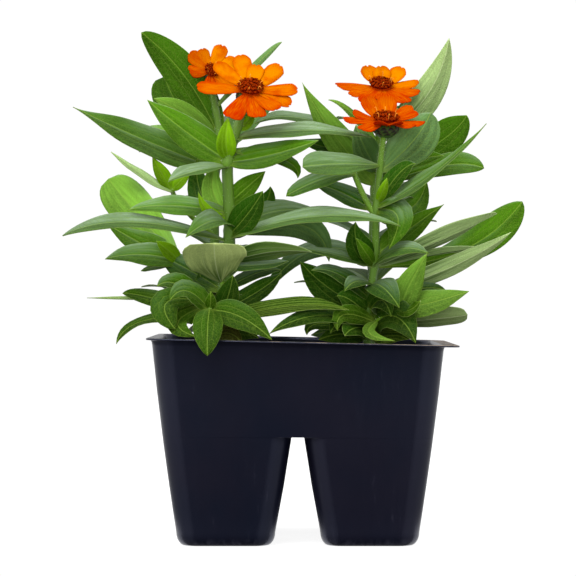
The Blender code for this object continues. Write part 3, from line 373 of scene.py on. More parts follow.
def spread(*values):
    """Numbers and grids spread over one grid, side by side along its last axis."""
    return np.stack(np.broadcast_arrays(*values), axis=-1)


def wrapped(upper, lower):
    """A grid that goes across the upper skin of a blade and back across the lower one."""
    return np.concatenate([upper, lower[:, ::-1]], axis=1)


def circle(side, over, angle):
    """Points at the angles round a circle of radius one: side cos a + over sin a."""
    return np.cos(angle)[..., None] * side + np.sin(angle)[..., None] * over


def square_to(along):
    """Two directions square to each direction of a path and to each other."""
    side = unit(np.cross(along, (0.0, 1.0, 0.05)))
    return side, np.cross(along, side)


def ring_quads(count, around):
    """The quads between rings of points, ring by ring."""
    step = np.arange(around)
    after = (step + 1) % around
    low = np.arange(count - 1)[:, None] * around
    quads = np.stack([low + step, low + after, low + around + after, low + around + step], axis=-1)
    return quads.reshape(-1, 4)


class Skin:
    """Points, faces and named values of a mesh, gathered part by part."""

    def __init__(self):
        self.points = []
        self.quads = []
        self.corners = []
        self.values = {}
        self.count = 0

    def add(self, points, quads, corners=(), **values):
        """Add points, quads, triangles and one row of each named value for every point."""
        points = np.asarray(points, float).reshape(-1, 3)
        self.points.append(points)
        self.quads.append(np.asarray(quads, int).reshape(-1, 4) + self.count)
        self.corners.append(np.asarray(corners, int).reshape(-1, 3) + self.count)
        for name, value in values.items():
            rows = np.atleast_2d(np.asarray(value, float))
            rows = np.broadcast_to(rows, (len(points), rows.shape[1]))
            self.values.setdefault(name, []).append(rows)
        self.count += len(points)

    def sleeve(self, top, under, tint, **pairs):
        """A closed blade from the grids of its upper and lower skin, the rows along the blade.

        Each pair holds a named value's grids for the upper and the lower skin.
        """
        rows, wide = top.shape[:2]
        step = np.arange(wide - 1)
        cap = np.stack([step, 2 * wide - 1 - step, 2 * wide - 2 - step, step + 1], axis=-1)
        end = (rows - 1) * 2 * wide + cap[:, ::-1]
        quads = np.concatenate([ring_quads(rows, 2 * wide), cap, end])
        values = {name: wrapped(*pair).reshape(-1, 3) for name, pair in pairs.items()}
        self.add(wrapped(top, under), quads, tint=tint, **values)

    def turned(self, rings, **values):
        """A closed solid from rings of equally many points, a fan closing either end."""
        rings = np.asarray(rings, float)
        count, around = rings.shape[:2]
        ends = [rings[0].mean(axis=0), rings[-1].mean(axis=0)]
        points = np.vstack([rings.reshape(-1, 3), ends])
        step = np.arange(around)
        after = (step + 1) % around
        first = np.stack([after, step, np.full(around, count * around)], axis=-1)
        last = (count - 1) * around + np.stack([step, after, np.full(around, around + 1)], axis=-1)
        self.add(points, ring_quads(count, around), np.concatenate([first, last]), **values)

    def piece(self, name, material, replaced):
        """Make the mesh and dress it as a piece of the part."""
        points = np.concatenate(self.points) * MM
        quads = np.concatenate(self.quads)
        corners = np.concatenate(self.corners)
        mesh = bpy.data.meshes.new(name)
        mesh.from_pydata(points.tolist(), [], quads.tolist() + corners.tolist())
        mesh.shade_smooth()
        for value, rows in self.values.items():
            rows = np.concatenate(rows)
            colour = rows.shape[1] == 4
            kind = "FLOAT_COLOR" if colour else "FLOAT_VECTOR"
            made = mesh.attributes.new(value, kind, "POINT")
            made.data.foreach_set("color" if colour else "vector", rows.astype(np.float32).ravel())
        dress(mesh, name, material, replaced)


def placed(name, data):
    """A new object in the scene."""
    thing = bpy.data.objects.new(name, data)
    bpy.context.scene.collection.objects.link(thing)
    return thing


def dress(mesh, name, material, replaced):
    """Make an object of a mesh, paint it, and let it ride on the part and stand for its solids."""
    mesh.materials.append(material)
    thing = placed(name, mesh)
    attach(thing, "root")
    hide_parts(*replaced)


def bar_rings(path, radii, sides, ridges=0.0):
    """Circles square to a path: p - r (side cos a + over sin a), with fine ridges if asked."""
    path = np.asarray(path, float)
    side, over = square_to(unit(np.gradient(path, axis=0)))
    angle = np.arange(sides) * 2 * math.pi / sides
    radii = np.asarray(radii, float)[:, None] * (1 + ridges * np.cos(angle * sides / 2))
    return path[:, None, :] - radii[..., None] * circle(side[:, None, :], over[:, None, :], angle)


def mirrored(cuts):
    """The cuts from the middle of a blade to one edge, and the same to the other edge."""
    return np.concatenate([-np.array(cuts[:0:-1]), cuts])


# Where a leaf is cut across, from its midrib to its margin, and how far apart it is cut along.
LEAF_CUTS = mirrored((0.0, 0.05, 0.12, 0.26, 0.38, 0.45, 0.52, 0.66, 0.82, 0.94, 1.0))
LEAF_STEP = 2.6
LEAF_ROWS = (12, 30)
LEAST_HALF_WIDTH = (0.95, 0.05)  # In the half at the start, and in the half at the tip.
# Where the side veins run, as a share of the half width, and how much closer they are at the tip.
SIDE_VEIN = 0.46
SIDE_VEIN_INWARD = 0.25


def add_leaf(skin, row, tone, draw, look, stripes):
    """One leaf as a closed sleeve over u along the midrib and v from margin to margin.

    Midrib: a parabola through start, middle and end. Half width w: width/2 u^a (1-u)^b over its
    peak. A point is midrib + across w v cos f + normal (w (|v| sin f - arch v^2) + wave v^2), where
    f is the fold and the wave is a slow sine along each margin. Grooves follow the midrib and the
    two side veins on the upper skin, and ridges follow them on the lower one. Each point keeps its
    place on the blade, in millimetres, and its share of the length, its skin and the leaf's seed.
    """
    start, middle, end, width, facing, fold, twist, start_power, tip_power = row
    length = math.dist(start, middle) + math.dist(middle, end)
    count = int(np.clip(length / LEAF_STEP, *LEAF_ROWS))
    u = (1 - np.cos(np.linspace(0, math.pi, count))) / 2
    u = 0.55 * u + 0.45 * np.linspace(0, 1, count)
    points, along = parabola(start, middle, end, u)
    turn = math.radians(facing)
    aim = np.array([0.0, -math.sin(turn), math.cos(turn)])
    normal = unit(aim - (along @ aim)[:, None] * along)
    across = np.cross(along, normal)
    angle = (math.radians(twist) * np.clip(u - 0.3, 0, 1))[:, None]
    normal, across = (
        normal * np.cos(angle) + across * np.sin(angle),
        across * np.cos(angle) - normal * np.sin(angle),
    )
    half = width / 2 * outline(u, start_power, tip_power)
    half = np.maximum(half, np.where(u < 0.5, *LEAST_HALF_WIDTH))[:, None]
    u = u[:, None]
    v = LEAF_CUTS[None, :]
    bend = math.radians(fold)
    phases = [draw.uniform(0, 2 * math.pi) for _ in range(2)]
    turns = draw.uniform(1.2, 2.2)
    swing = 2 * math.pi * turns * u + np.where(v < 0, *phases)
    wave = look.wave * width * np.sin(math.pi * u) * np.sin(swing)
    side_vein = SIDE_VEIN * (1 - SIDE_VEIN_INWARD * u)
    groove = look.vein_depth * bell(v * half, 0.55) * (1 - 0.7 * u)
    groove = groove + 0.45 * look.vein_depth * bell((abs(v) - side_vein) * half, 0.5) * (1 - u)
    fade = np.clip(half / 3.0, 0, 1)
    rise = half * (np.sqrt(v**2 + 0.01) * math.sin(bend) - look.arch * v**2) + wave * v**2
    spread_out = half * v * math.cos(bend)
    thick = look.thickness * (1 - 0.6 * abs(v) ** 3) * np.where(u < 0.1, 1.6, 1.0)
    middle_skin = points[:, None, :] + spread_out[..., None] * across[:, None, :]
    normal = normal[:, None, :]
    top = middle_skin + (rise + thick / 2 - groove * fade)[..., None] * normal
    under = middle_skin + (rise - thick / 2 - 1.3 * groove * fade)[..., None] * normal
    # Positive across marks the half of the blade that lies lower, which the leaf paint darkens as
    # painted shade.
    shaded_side = -1.0 if across[:, 2].mean() > 0 else 1.0
    place = spread(u * length, shaded_side * v * half, half * (1 - abs(v)))
    seed = draw.random()
    shares = np.broadcast_to(u, rise.shape)
    sides = (spread(shares, 0.0, seed), spread(shares, 1.0, seed))
    colour = [*np.array(tone) * draw.uniform(0.88, 1.14), 1.0 - stripes]
    skin.sleeve(top, under, colour, place=(place, place), side=sides)


def leaf_row(row):
    """A row of the leaf table with the plain shape filled in, and its tone last."""
    return (*row[:6], *(row[7:] or PLAIN_LEAF), row[6])


def stem_point(place, height):
    """The middle of the main stem at a height."""
    rows = np.array(MAIN_STEMS[place], float)
    x = float(np.interp(height, rows[:, 2], rows[:, 0]))
    y = float(np.interp(height, rows[:, 2], rows[:, 1]))
    return np.array([x, y, height])


def paired_leaves(place):
    """Rows like those of the leaf table for the leaves placed by rule, drawn as in the source."""
    heights, angles, length, rise, width = PAIRED_LEAVES[place]
    draw = random.Random(PAIRED_LEAF_SEED)
    rows = []
    for number, height in enumerate(heights):
        for side in (-1, 1):
            angle = math.radians(angles[number % 2] * side + draw.uniform(-6, 6))
            reach = length * draw.uniform(0.88, 1.0)
            outward = np.array([math.sin(angle), math.cos(angle), 0.0])
            start = stem_point(place, height)
            lift = rise * draw.uniform(0.5, 1.2)
            middle = start + 0.5 * reach * outward + np.array([0.0, 0.0, lift * 0.85])
            end = start + reach * outward + np.array([0.0, 0.0, lift])
            tone = "middling" if number % 2 else "deep"
            wide = width * draw.uniform(0.85, 1.1)
            rows.append((start, middle, end, wide, 0, 12, tone, 0, 0.62, 0.8))
    return rows


def build_foliage(place, look, material):
    """Every leaf of one plant."""
    skin = Skin()
    draw = random.Random(PLACES.index(place) + 5)
    for *row, tone in map(leaf_row, (*LEAVES[place], *paired_leaves(place))):
        add_leaf(skin, row, getattr(look, tone), draw, look, float(tone == "striped"))
    skin.piece("foliage_" + place, material, ["leafy_stem_" + place])


def bloom_frame(place):
    """The middle of the disc, the way the bloom faces and two directions across it."""
    centre = np.array(BLOOMS[place]["centre"], float)
    axis = unit(np.array(BLOOMS[place]["axis"], float))
    right = unit(np.cross((0.0, 1.0, 0.0), axis))
    up = np.cross(axis, right)
    return centre, axis, right, up


def turned_rings(frame_of_bloom, profile, sides):
    """Rings round the bloom's axis from rows of radius and height."""
    centre, axis, right, up = frame_of_bloom
    angle = np.arange(sides) * 2 * math.pi / sides
    reach, height = np.asarray(profile, float).T[..., None, None]
    return centre + height * axis + reach * circle(right, up, angle)


# The stem's samples and sides, the shoot's, and how far below a disc the stem ends.
STEM_SAMPLES, STEM_SIDES = 90, 16
SHOOT_SAMPLES, SHOOT_SIDES = 18, 10
NECK_DEPTH = 8.0
HAIR_THICKNESS = 0.045


def build_stalks(place, look, material):
    """Main stem, side shoots and short hairs of one plant.

    The stem is a circle carried along a smooth curve through its rows, a little thicker where a
    pair of leaves starts. A hair is a thin three-sided spike square to the stem.
    """
    skin = Skin()
    draw = np.random.default_rng(PLACES.index(place) + 11)
    rows = np.array(MAIN_STEMS[place], float)
    centre, axis, _, _ = bloom_frame(place)
    neck = centre - NECK_DEPTH * BLOOMS[place]["size"] * axis
    rows = np.vstack([rows, [*neck, rows[-1, 3]]])
    path = smooth_path(rows, STEM_SAMPLES)
    starts = np.unique(np.round([row[0][2] / 5 for row in LEAVES[place]])) * 5
    swell = bell(path[:, 2, None] - starts, 1.8).max(axis=1)
    radii = path[:, 3] * (1 + look.swelling * swell)
    level = np.linspace(0, 1, STEM_SAMPLES)
    high = np.append(np.repeat(level, STEM_SIDES), [0, 1])[:, None]
    tint = np.array([*look.stalk, 1.0]) * (1 - high) + np.array([*look.shoot, 1.0]) * high
    skin.turned(bar_rings(path[:, :3], radii, STEM_SIDES, 0.025), tint=tint)
    bars = [(path[:, :3], radii)]
    for plant, radius, start, middle, end in SIDE_SHOOTS:
        if plant == place:
            shares = np.linspace(0, 1, SHOOT_SAMPLES)
            bars.append((parabola(start, middle, end, shares)[0], radius * (1.1 - 0.2 * shares)))
            skin.turned(bar_rings(*bars[-1], SHOOT_SIDES), tint=[*look.shoot, 1.0])
    for points, widths in bars:
        add_hairs(skin, points, widths, look, draw)
    skin.piece("stalks_" + place, material, ["leafy_stem_" + place])


def add_hairs(skin, path, radii, look, draw):
    """Short spikes on a bar: a triangle of points at its skin and one point further out."""
    steps = np.linalg.norm(np.diff(path, axis=0), axis=1)
    count = int(steps.sum() * look.hairs)
    at = draw.uniform(0, len(path) - 1.001, count)
    k = at.astype(int)
    u = (at - k)[:, None]
    foot = path[k] * (1 - u) + path[k + 1] * u
    along = unit(path[k + 1] - path[k])
    out = circle(*square_to(along), draw.uniform(0, 2 * math.pi, count))
    aside = np.cross(along, out)
    radius = radii[k][:, None]
    length = look.hair_length * draw.uniform(0.5, 1.2, (count, 1))
    base = foot + out * (radius - 0.1)
    low = base - HAIR_THICKNESS / 2 * along
    tip = foot + out * (radius + length) + 0.3 * length * along
    points = [base + HAIR_THICKNESS * along, low + HAIR_THICKNESS * aside]
    points = np.stack([*points, low - HAIR_THICKNESS * aside, tip], axis=1)
    faces = np.array([(0, 3, 1), (1, 3, 2), (2, 3, 0), (0, 1, 2)])
    corners = (np.arange(count)[:, None, None] * 4 + faces).reshape(-1, 3)
    skin.add(points, [], corners, tint=[*look.hair, 1.0])


# Radius and height of the cup under a bloom.
CUP_PROFILE = (
    (1.6, -9.2), (2.3, -8.7), (3.6, -8.0), (4.7, -6.9), (5.4, -5.6), (5.8, -4.4), (5.8, -3.4),
    (5.1, -2.4),
)
# Rows of scales on the cup: how many, where they start and end on it, and how far they stand off.
CUP_SCALES = ((9, -8.6, -4.9, 0.55), (10, -7.4, -3.6, 0.42), (11, -6.2, -2.4, 0.30))
SCALE_HALF_WIDTH = 1.75
SCALE_THICKNESS = 0.3


def build_cup(place, look, material):
    """The cup under one bloom: a turned body and three rows of overlapping rounded scales.

    A scale follows the cup's profile from its start to its end height, standing further off it
    towards its tip. Its half width is the full one times the square root of 1 - |2s - 0.9|^3.2
    along s, and it is bowed by a share of v^2 from edge to edge.
    """
    skin = Skin()
    bloom = bloom_frame(place)
    centre, axis, right, up = bloom
    size = BLOOMS[place]["size"]
    profile = np.array(CUP_PROFILE) * size
    green = [*look.cup, 1.0]
    skin.turned(turned_rings(bloom, profile, 28), tint=green, place=np.zeros(3))
    reach, height = profile.T
    s = np.linspace(0, 1, 9)
    v = np.linspace(-1, 1, 7)
    for row, (count, low, high, stand) in enumerate(CUP_SCALES):
        level = size * (low + (high - low) * s)
        half = SCALE_HALF_WIDTH * size * np.clip(1 - abs(2 * s - 0.9) ** 3.2, 0.02, 1) ** 0.5
        radius = np.interp(level, height, reach) + size * (0.12 + stand * s**2)
        bowl = radius[:, None] - 0.14 * size * v**2
        flat = centre + level[:, None, None] * axis
        mark = spread(s[:, None], v, float(row))
        for number in range(count):
            turn = 2 * math.pi * (number + 0.5 * (row % 2)) / count
            out = circle(right, up, turn + half[:, None] * v / radius[:, None])
            top = flat + bowl[..., None] * out
            under = flat + (bowl - SCALE_THICKNESS * size)[..., None] * out
            skin.sleeve(top, under, green, place=(mark, mark))
    skin.piece("flower_cup_" + place, material, ["leafy_stem_" + place])


# Where a petal is cut across, its half width along it, and how far out and down its root starts.
PETAL_CUTS = mirrored((0.0, 0.1, 0.22, 0.36, 0.5, 0.64, 0.78, 0.9, 1.0))
PETAL_OUTLINE = (
    (0.0, 0.34), (0.12, 0.52), (0.3, 0.76), (0.5, 0.92), (0.7, 1.0), (0.85, 0.98), (1.0, 0.80),
)
PETAL_ROOT = (3.4, -1.1)
# How far the tip of a petal of this length and width is rounded, as a share of its length.
TIP_ROUNDING = 0.16
PLAIN_PETAL_LENGTH, PLAIN_PETAL_WIDTH = 15, 7.5


def way_out(right, up, turn):
    """The direction at an angle round a bloom's axis."""
    return math.cos(turn) * right + math.sin(turn) * up


def add_petal(skin, bloom, size, gold, row, draw, look):
    """One ray petal as a closed sleeve over u from root to tip and v from edge to edge.

    Midline: the source's parabola. Half width: width/2 times the petal's outline. Each v line ends
    early by a share of |v|^3.5 and by two small notches near the middle. The blade is cupped by a
    share of v^2, sways at its tip by a share of v, has a trough at its root and fine ribs,
    cos(7 pi v). Petals that point up are painted more golden and those that point down redder,
    as painted light and shade from above.
    """
    centre, axis, right, up = bloom
    angle, length, lift, width = row
    turn = math.radians(angle)
    outward = way_out(right, up, turn)
    root_reach, root_height = PETAL_ROOT
    start = centre + root_reach * size * outward + root_height * size * axis
    middle = centre + (root_reach * size + length) / 2 * outward
    middle = middle + (0.16 * lift - 0.4 * size) * axis
    end = centre + length * outward + lift * axis
    u = np.sin(np.linspace(0, math.pi / 2, 20)) ** 1.15
    v = PETAL_CUTS
    notch = draw.uniform(0.4, 1.2) * look.notch
    offset = draw.uniform(-0.25, 0.25)
    notches = notch * bell(v - offset, 0.13) + 0.3 * notch * bell(v - offset + 0.5, 0.12)
    rounding = TIP_ROUNDING * abs(v) ** 3.5 * width / PLAIN_PETAL_WIDTH
    short = rounding * PLAIN_PETAL_LENGTH / length + notches / length
    reach = u[:, None] * (1.015 - short)
    points, along = parabola(start, middle, end, reach)
    normal = unit(axis - (along @ axis)[..., None] * along)
    across = np.cross(along, normal)
    half = width / 2 * np.interp(reach, *zip(*PETAL_OUTLINE))
    cup = draw.uniform(-0.22, 0.16)
    sway = draw.uniform(-0.5, 0.5)
    ribs = look.rib * np.cos(7 * math.pi * v) * np.sin(math.pi * np.clip(reach, 0, 1)) ** 0.5
    trough = 0.35 * bell(v, 0.3) * np.clip(1 - reach, 0, 1)
    curl = sway * v * np.clip(reach - 0.5, 0, 1) * half * 0.6
    rise = cup * half * v**2 + ribs - trough + curl
    middle_skin = points + (half * v)[..., None] * across
    thick = look.petal_thickness * (1 - 0.5 * abs(v) ** 4)
    top = middle_skin + (rise + thick / 2)[..., None] * normal
    under = middle_skin + (rise - thick / 2)[..., None] * normal
    seed = draw.random()
    # Painted light and shade: petals that point up get more gold, and those that point down more
    # red, as if lit from above.
    light = np.clip(gold + 0.45 * math.sin(turn) + draw.uniform(-0.15, 0.15), 0, 1)
    colour = (1 - light) * np.array(look.petal_red_and_shade) + light * np.array(look.petal_gold_and_lit)
    ways = spread(v * width / 2, reach * length, seed * 40)
    sides = (spread(reach, 0.0, seed), spread(reach, 1.0, seed))
    skin.sleeve(top, under, [*colour, 1.0], place=(ways, ways), side=sides)


# Radius and height of the plate that holds the petals, and of the dome that the florets stand on.
PLATE_PROFILE = ((3.2, -2.1), (4.4, -1.9), (4.9, -1.1), (4.6, -0.3), (3.6, -0.15))
DOME_PROFILE = (
    (5.0, -0.1), (5.25, 0.3), (5.2, 0.7), (4.6, 1.2), (3.8, 1.55), (2.6, 1.85), (1.2, 2.0),
)
# A floret's rings: the share of its length, the half width, and the share of the lip's colour.
FLORET_PROFILE = (
    (0.0, 0.42, 0.0), (0.55, 0.40, 0.0), (0.85, 0.50, 0.25), (1.0, 0.62, 0.7), (0.9, 0.2, 0.0),
)
THREAD_RADII = (0.2, 0.2, 0.19, 0.18, 0.17, 0.16, 0.1)


def build_petals(place, look, material):
    """The ray petals of one bloom and the plate that holds them."""
    skin = Skin()
    draw = random.Random(PLACES.index(place) + 29)
    bloom = bloom_frame(place)
    size = BLOOMS[place]["size"]
    rings = turned_rings(bloom, np.array(PLATE_PROFILE) * size, 20)
    skin.turned(rings, tint=[*look.petal_red_and_shade, 1.0], place=np.zeros(3), side=np.zeros(3))
    for row in BLOOMS[place]["petals"]:
        add_petal(skin, bloom, size, BLOOMS[place]["gold"], row, draw, look)
    skin.piece("ray_petals_" + place, material, ["petals_" + place])


def build_florets(place, look, material):
    """The disc: a dome, rings of small flared tubes and a few curled yellow threads.

    A tube is a hexagon carried from its foot to its head, leaning outwards, wider at the top and
    hollowed there. A thread is a circle carried along a parabola.
    """
    skin = Skin()
    draw = np.random.default_rng(PLACES.index(place) + 41)
    bloom = bloom_frame(place)
    centre, axis, right, up = bloom
    size = BLOOMS[place]["size"]
    dome = turned_rings(bloom, np.array(DOME_PROFILE) * size, 24)
    skin.turned(dome, tint=[*look.disc, 1.0])
    angle = np.arange(6) * math.pi / 3
    steps, widths, lips = np.array(FLORET_PROFILE).T
    lips = np.append(np.repeat(lips, 6), (0.0, 0.0))[:, None]
    lip = np.array([*look.floret_lip, 1.0])
    for count, radius, low, high, lean in FLORET_RINGS:
        for number in range(count):
            turn = 2 * math.pi * (number + draw.uniform(0.3, 0.7)) / count
            outward = way_out(right, up, turn)
            rise = high * draw.uniform(0.88, 1.08)
            way = axis + lean / rise * outward + 0.12 * draw.normal(size=3)
            foot = centre + size * (radius * outward + low * axis)
            path = foot + size * (rise - low) * steps[:, None] * way
            side = unit(np.cross(way, right + 0.3 * up))
            ring = circle(side, unit(np.cross(way, side)), angle)
            wide = size * widths * draw.uniform(0.85, 1.1)
            tone = np.array([*np.array(look.disc) * draw.uniform(0.7, 1.5), 1.0])
            tube = path[:, None, :] + wide[:, None, None] * ring
            skin.turned(tube, tint=tone * (1 - lips) + lip * lips)
    for number in range(look.threads):
        turn = 2 * math.pi * (number + draw.uniform(0.1, 0.9)) / look.threads
        outward = way_out(right, up, turn)
        start = centre + size * (draw.uniform(3.8, 5.0) * outward + 1.0 * axis)
        top = start + size * (0.5 * outward + draw.uniform(2.0, 3.0) * axis)
        end = top + size * (0.9 * outward + 0.1 * axis + 0.3 * draw.normal(size=3))
        path, _ = parabola(start, top, end, np.linspace(0, 1, len(THREAD_RADII)))
        skin.turned(bar_rings(path, size * np.array(THREAD_RADII), 5), tint=[*look.thread, 1.0])
    skin.piece("florets_" + place, material, ["disc_" + place])


def square_ring(low, high, radius, height, steps):
    """A rounded rectangle between two corners at one height: four quarter circles."""
    turn = np.linspace(0, math.pi / 2, steps + 1) + np.arange(4)[:, None] * math.pi / 2
    xs = np.array([high[0] - radius, low[0] + radius, low[0] + radius, high[0] - radius])
    ys = np.array([high[1] - radius, high[1] - radius, low[1] + radius, low[1] + radius])
    x = xs[:, None] + radius * np.cos(turn)
    y = ys[:, None] + radius * np.sin(turn)
    return spread(x.ravel(), y.ravel(), height)


def loose_solid(name, rings):
    """An object of one closed solid from rings, in millimetres, to be joined or cut."""
    rings = np.asarray(rings, float)
    count, around = rings.shape[:2]
    ends = [list(range(around))[::-1], list(range((count - 1) * around, count * around))]
    mesh = bpy.data.meshes.new(name)
    faces = ring_quads(count, around).tolist() + ends
    mesh.from_pydata(rings.reshape(-1, 3).tolist(), [], faces)
    return placed(name, mesh)


def combine(target, operation, others):
    """Join the other solids to the target or cut them from it, and remove them."""
    for other in others:
        cutter = target.modifiers.new(operation, "BOOLEAN")
        cutter.operation = operation
        cutter.solver = "EXACT"
        cutter.object = other
        graph = bpy.context.evaluated_depsgraph_get()
        result = bpy.data.meshes.new_from_object(target.evaluated_get(graph))
        target.modifiers.clear()
        target.data = result
        bpy.data.objects.remove(other)


def cell_rings(inset, side_x, side_y, steps):
    """The rings of one cell, shrunk by the inset, its bottom raised by as much.

    The foot's edges follow a quarter of an ellipse, and the rest the table of rings.
    """
    angle = np.linspace(0, math.pi / 2, 7)[:, None]
    foot = CELL_FOOT + np.sin(angle) * CELL_FOOT_GROWTH
    table = np.vstack([np.hstack([CELL_FOOT_HEIGHT * (1 - np.cos(angle)), foot]), CELL_RINGS])
    rings = []
    for z in (inset, *table[table[:, 0] > inset + 0.05, 0]):
        inner, outer, radius = (np.interp(z, table[:, 0], column) for column in table[:, 1:].T)
        sides = [sorted(((inner + inset) * s, (outer - inset) * s)) for s in (side_x, side_y)]
        rings.append(square_ring(*zip(*sides), radius - inset, z, steps))
    return rings


# The flange's rounded edge: how far in, and how high above its lower face.
LIP_PROFILE = ((0.35, 0.0), (0.1, 0.1), (0.0, 0.35), (0.1, 0.65), (0.35, FLANGE_THICKNESS))
# The hollow under the rim: its levels above the saddle, and how far, from where and over what
# height it flares.
HOLLOW_LEVELS = (60.0, 75.0, 84.6, 86.2, 87.1, RIM_HEIGHT, RIM_HEIGHT + 3)
FLARE, FLARE_FOOT, FLARE_HEIGHT = 0.9, 85.4, 2.2
DRAIN_HOLE_SIDES = 28
# The angle, in degrees, from which an edge of the pot stays sharp.
SHARP_EDGE = 32


def build_pot(look, material):
    """The cell pack, from solids whose rings are rounded squares: trough, flange, cells, holes.

    The trough and the cells are joined, the same solids shrunk by the wall are cut away, and the
    rim droops by a share of x times the square of the height.
    """
    steps = look.corner_steps
    rings = [square_ring((-h, -h), (h, h), r, z, steps) for z, h, r in BODY_RINGS]
    body = loose_solid("body", rings)
    flange = []
    for inset, rise in LIP_PROFILE:
        low, high = np.add(FLANGE_LOW, inset), np.subtract(FLANGE_HIGH, inset)
        height = RIM_HEIGHT - FLANGE_THICKNESS + rise
        flange.append(square_ring(low, high, FLANGE_RADIUS - inset, height, steps))
    corners = [(x, y) for x in (-1, 1) for y in (-1, 1)]
    cells = [loose_solid("cell", cell_rings(0.0, x, y, steps)) for x, y in corners]
    combine(body, "UNION", [loose_solid("flange", flange), *cells])
    wall = look.pot_wall
    levels, halves, radii = np.array(BODY_RINGS[:3]).T
    inner = []
    for z in (SADDLE_HEIGHT + 0.4 + wall, *HOLLOW_LEVELS):
        flare = max(0.0, (min(z, RIM_HEIGHT) - FLARE_FOOT) / FLARE_HEIGHT)
        half = np.interp(z, levels, halves) - wall + FLARE * flare**2
        radius = np.interp(z, levels, radii) - wall
        inner.append(square_ring((-half, -half), (half, half), radius, z, steps))
    hollows = [loose_solid("hollow", inner)]
    for x, y in corners:
        rings = cell_rings(wall, x, y, steps)
        rings[-1][:, 2] = SADDLE_HEIGHT + 4
        hollows.append(loose_solid("hollow", rings))
    middle = (CELL_FOOT[0] + CELL_FOOT[1]) / 2
    angle = np.linspace(0, 2 * math.pi, DRAIN_HOLE_SIDES, endpoint=False)
    round_hole = spread(np.cos(angle), np.sin(angle)) * DRAIN_HOLE_RADIUS
    for x, y in corners:
        ring = round_hole + (middle * x, middle * y)
        hole = [spread(*ring.T, z) for z in (-2.0, 4.0)]
        hollows.append(loose_solid("hole", hole))
    combine(body, "DIFFERENCE", hollows)
    mesh = body.data
    bpy.data.objects.remove(body)
    points = np.empty(len(mesh.vertices) * 3)
    mesh.vertices.foreach_get("co", points)
    points = points.reshape(-1, 3)
    share = np.clip(points[:, 2] / RIM_HEIGHT, 0, 1)
    points[:, 2] -= RIM_DROOP * points[:, 0] * share**2
    mesh.vertices.foreach_set("co", (points * MM).ravel())
    mesh.materials.clear()
    mesh.shade_smooth()
    mesh.set_sharp_from_angle(angle=math.radians(SHARP_EDGE))
    mesh.name = "cell_pack"
    dress(mesh, "cell_pack", material, ["pot"])


def soil_height(x, y):
    """The lumpy top of the growing medium, highest in the middle, as in the source."""
    mound = SOIL_MOUND * (1 - (np.maximum(abs(x), abs(y)) / 60) ** 2)
    lumps = np.sin(0.31 * x + 0.7) * np.cos(0.27 * y - 0.4) + 0.5 * np.sin(0.53 * x - 0.47 * y)
    top = RIM_HEIGHT - SOIL_TOP_DEPTH + mound + SOIL_LUMP * lumps
    return top - RIM_DROOP * x


# Crumbs on the growing medium: the setting that gives the colour, how many times rarer than peat
# they are, the least and the greatest size, and how flat they are.
CRUMBS = (
    ("peat", 1, 0.5, 1.9, 0.75),
    ("bark", 6, 1.6, 4.2, 0.35),
    ("grain", 12, 0.6, 1.5, 0.9),
)
# A crumb's rings of six points: height, radius, and the share of a sixth turn.
CRUMB_RINGS = ((-0.62, 0.72, 0.0), (0.0, 1.0, 0.5), (0.62, 0.72, 0.0))
# How far from the middle crumbs lie, and how far from a stem's middle their edge stays.
CRUMB_REACH = 57
STEM_CLEARANCE = 3.4


def add_crumbs(skin, look):
    """Loose crumbs, bark chips and white grains lying on the growing medium.

    A crumb is a small lump of three rings, stretched, turned and roughened at random, and laid on
    the lumpy height of the medium: z = rim - depth + mound (1 - m^2) + lumps of sines.
    """
    draw = np.random.default_rng(3)
    angle = np.arange(6) * math.pi / 3
    spins = [(height, radius, angle + turn * math.pi / 3) for height, radius, turn in CRUMB_RINGS]
    shape = np.array([spread(r * np.cos(a), r * np.sin(a), h) for h, r, a in spins])
    stems = np.array([rows[0][:2] for rows in MAIN_STEMS.values()])
    for kind, rarity, least, most, flat in CRUMBS:
        for _ in range(look.crumbs // rarity):
            x, y = draw.uniform(-CRUMB_REACH, CRUMB_REACH, 2)
            size = draw.uniform(least, most)
            if np.min(np.hypot(*(stems - (x, y)).T)) < STEM_CLEARANCE + size:
                continue
            spin = np.linalg.qr(draw.normal(size=(3, 3)))[0]
            spin = spin * np.sign(np.linalg.det(spin))
            lump = shape * (1 + 0.22 * draw.normal(size=(3, 6, 1)))
            if kind == "bark":
                tilt = draw.uniform(-0.25, 0.25, 2)
                turn = draw.uniform(0, math.pi)
                lump = lump * (1.0, draw.uniform(0.35, 0.7), flat)
                x_way = np.array([math.cos(turn), math.sin(turn), tilt[0]])
                y_way = np.array([-math.sin(turn), math.cos(turn), tilt[1]])
                lump = lump @ unit(np.array([x_way, y_way, np.cross(x_way, y_way)]))
            else:
                lump = (lump * (1, 1, flat)) @ spin.T
            lump = lump * size + (x, y, soil_height(x, y) + 0.25 * size)
            tone = np.array(getattr(look, kind)) * draw.uniform(0.65, 1.35)
            skin.turned(lump, tint=[*np.clip(tone, 0, 1), 1.0])


def even_ring(ring, count):
    """The same closed outline with evenly spaced points."""
    closed = np.vstack([ring, ring[:1]])
    walked = np.concatenate([[0], np.cumsum(np.linalg.norm(np.diff(closed, axis=0), axis=1))])
    at = np.linspace(0, walked[-1], count, endpoint=False)
    return np.stack([np.interp(at, walked, closed[:, axis]) for axis in range(3)], axis=-1)


# The crust: half its width, its corner radius, its points round, its rings, how many sine waves
# roughen it, how far it lies above the solid, and the height of its foot.
CRUST_HALF, CRUST_RADIUS = 60.3, 9.0
CRUST_AROUND, CRUST_RINGS = 176, 62
CRUST_WAVES = 22
CRUST_RISE = 0.35
CRUST_FOOT = 72.0


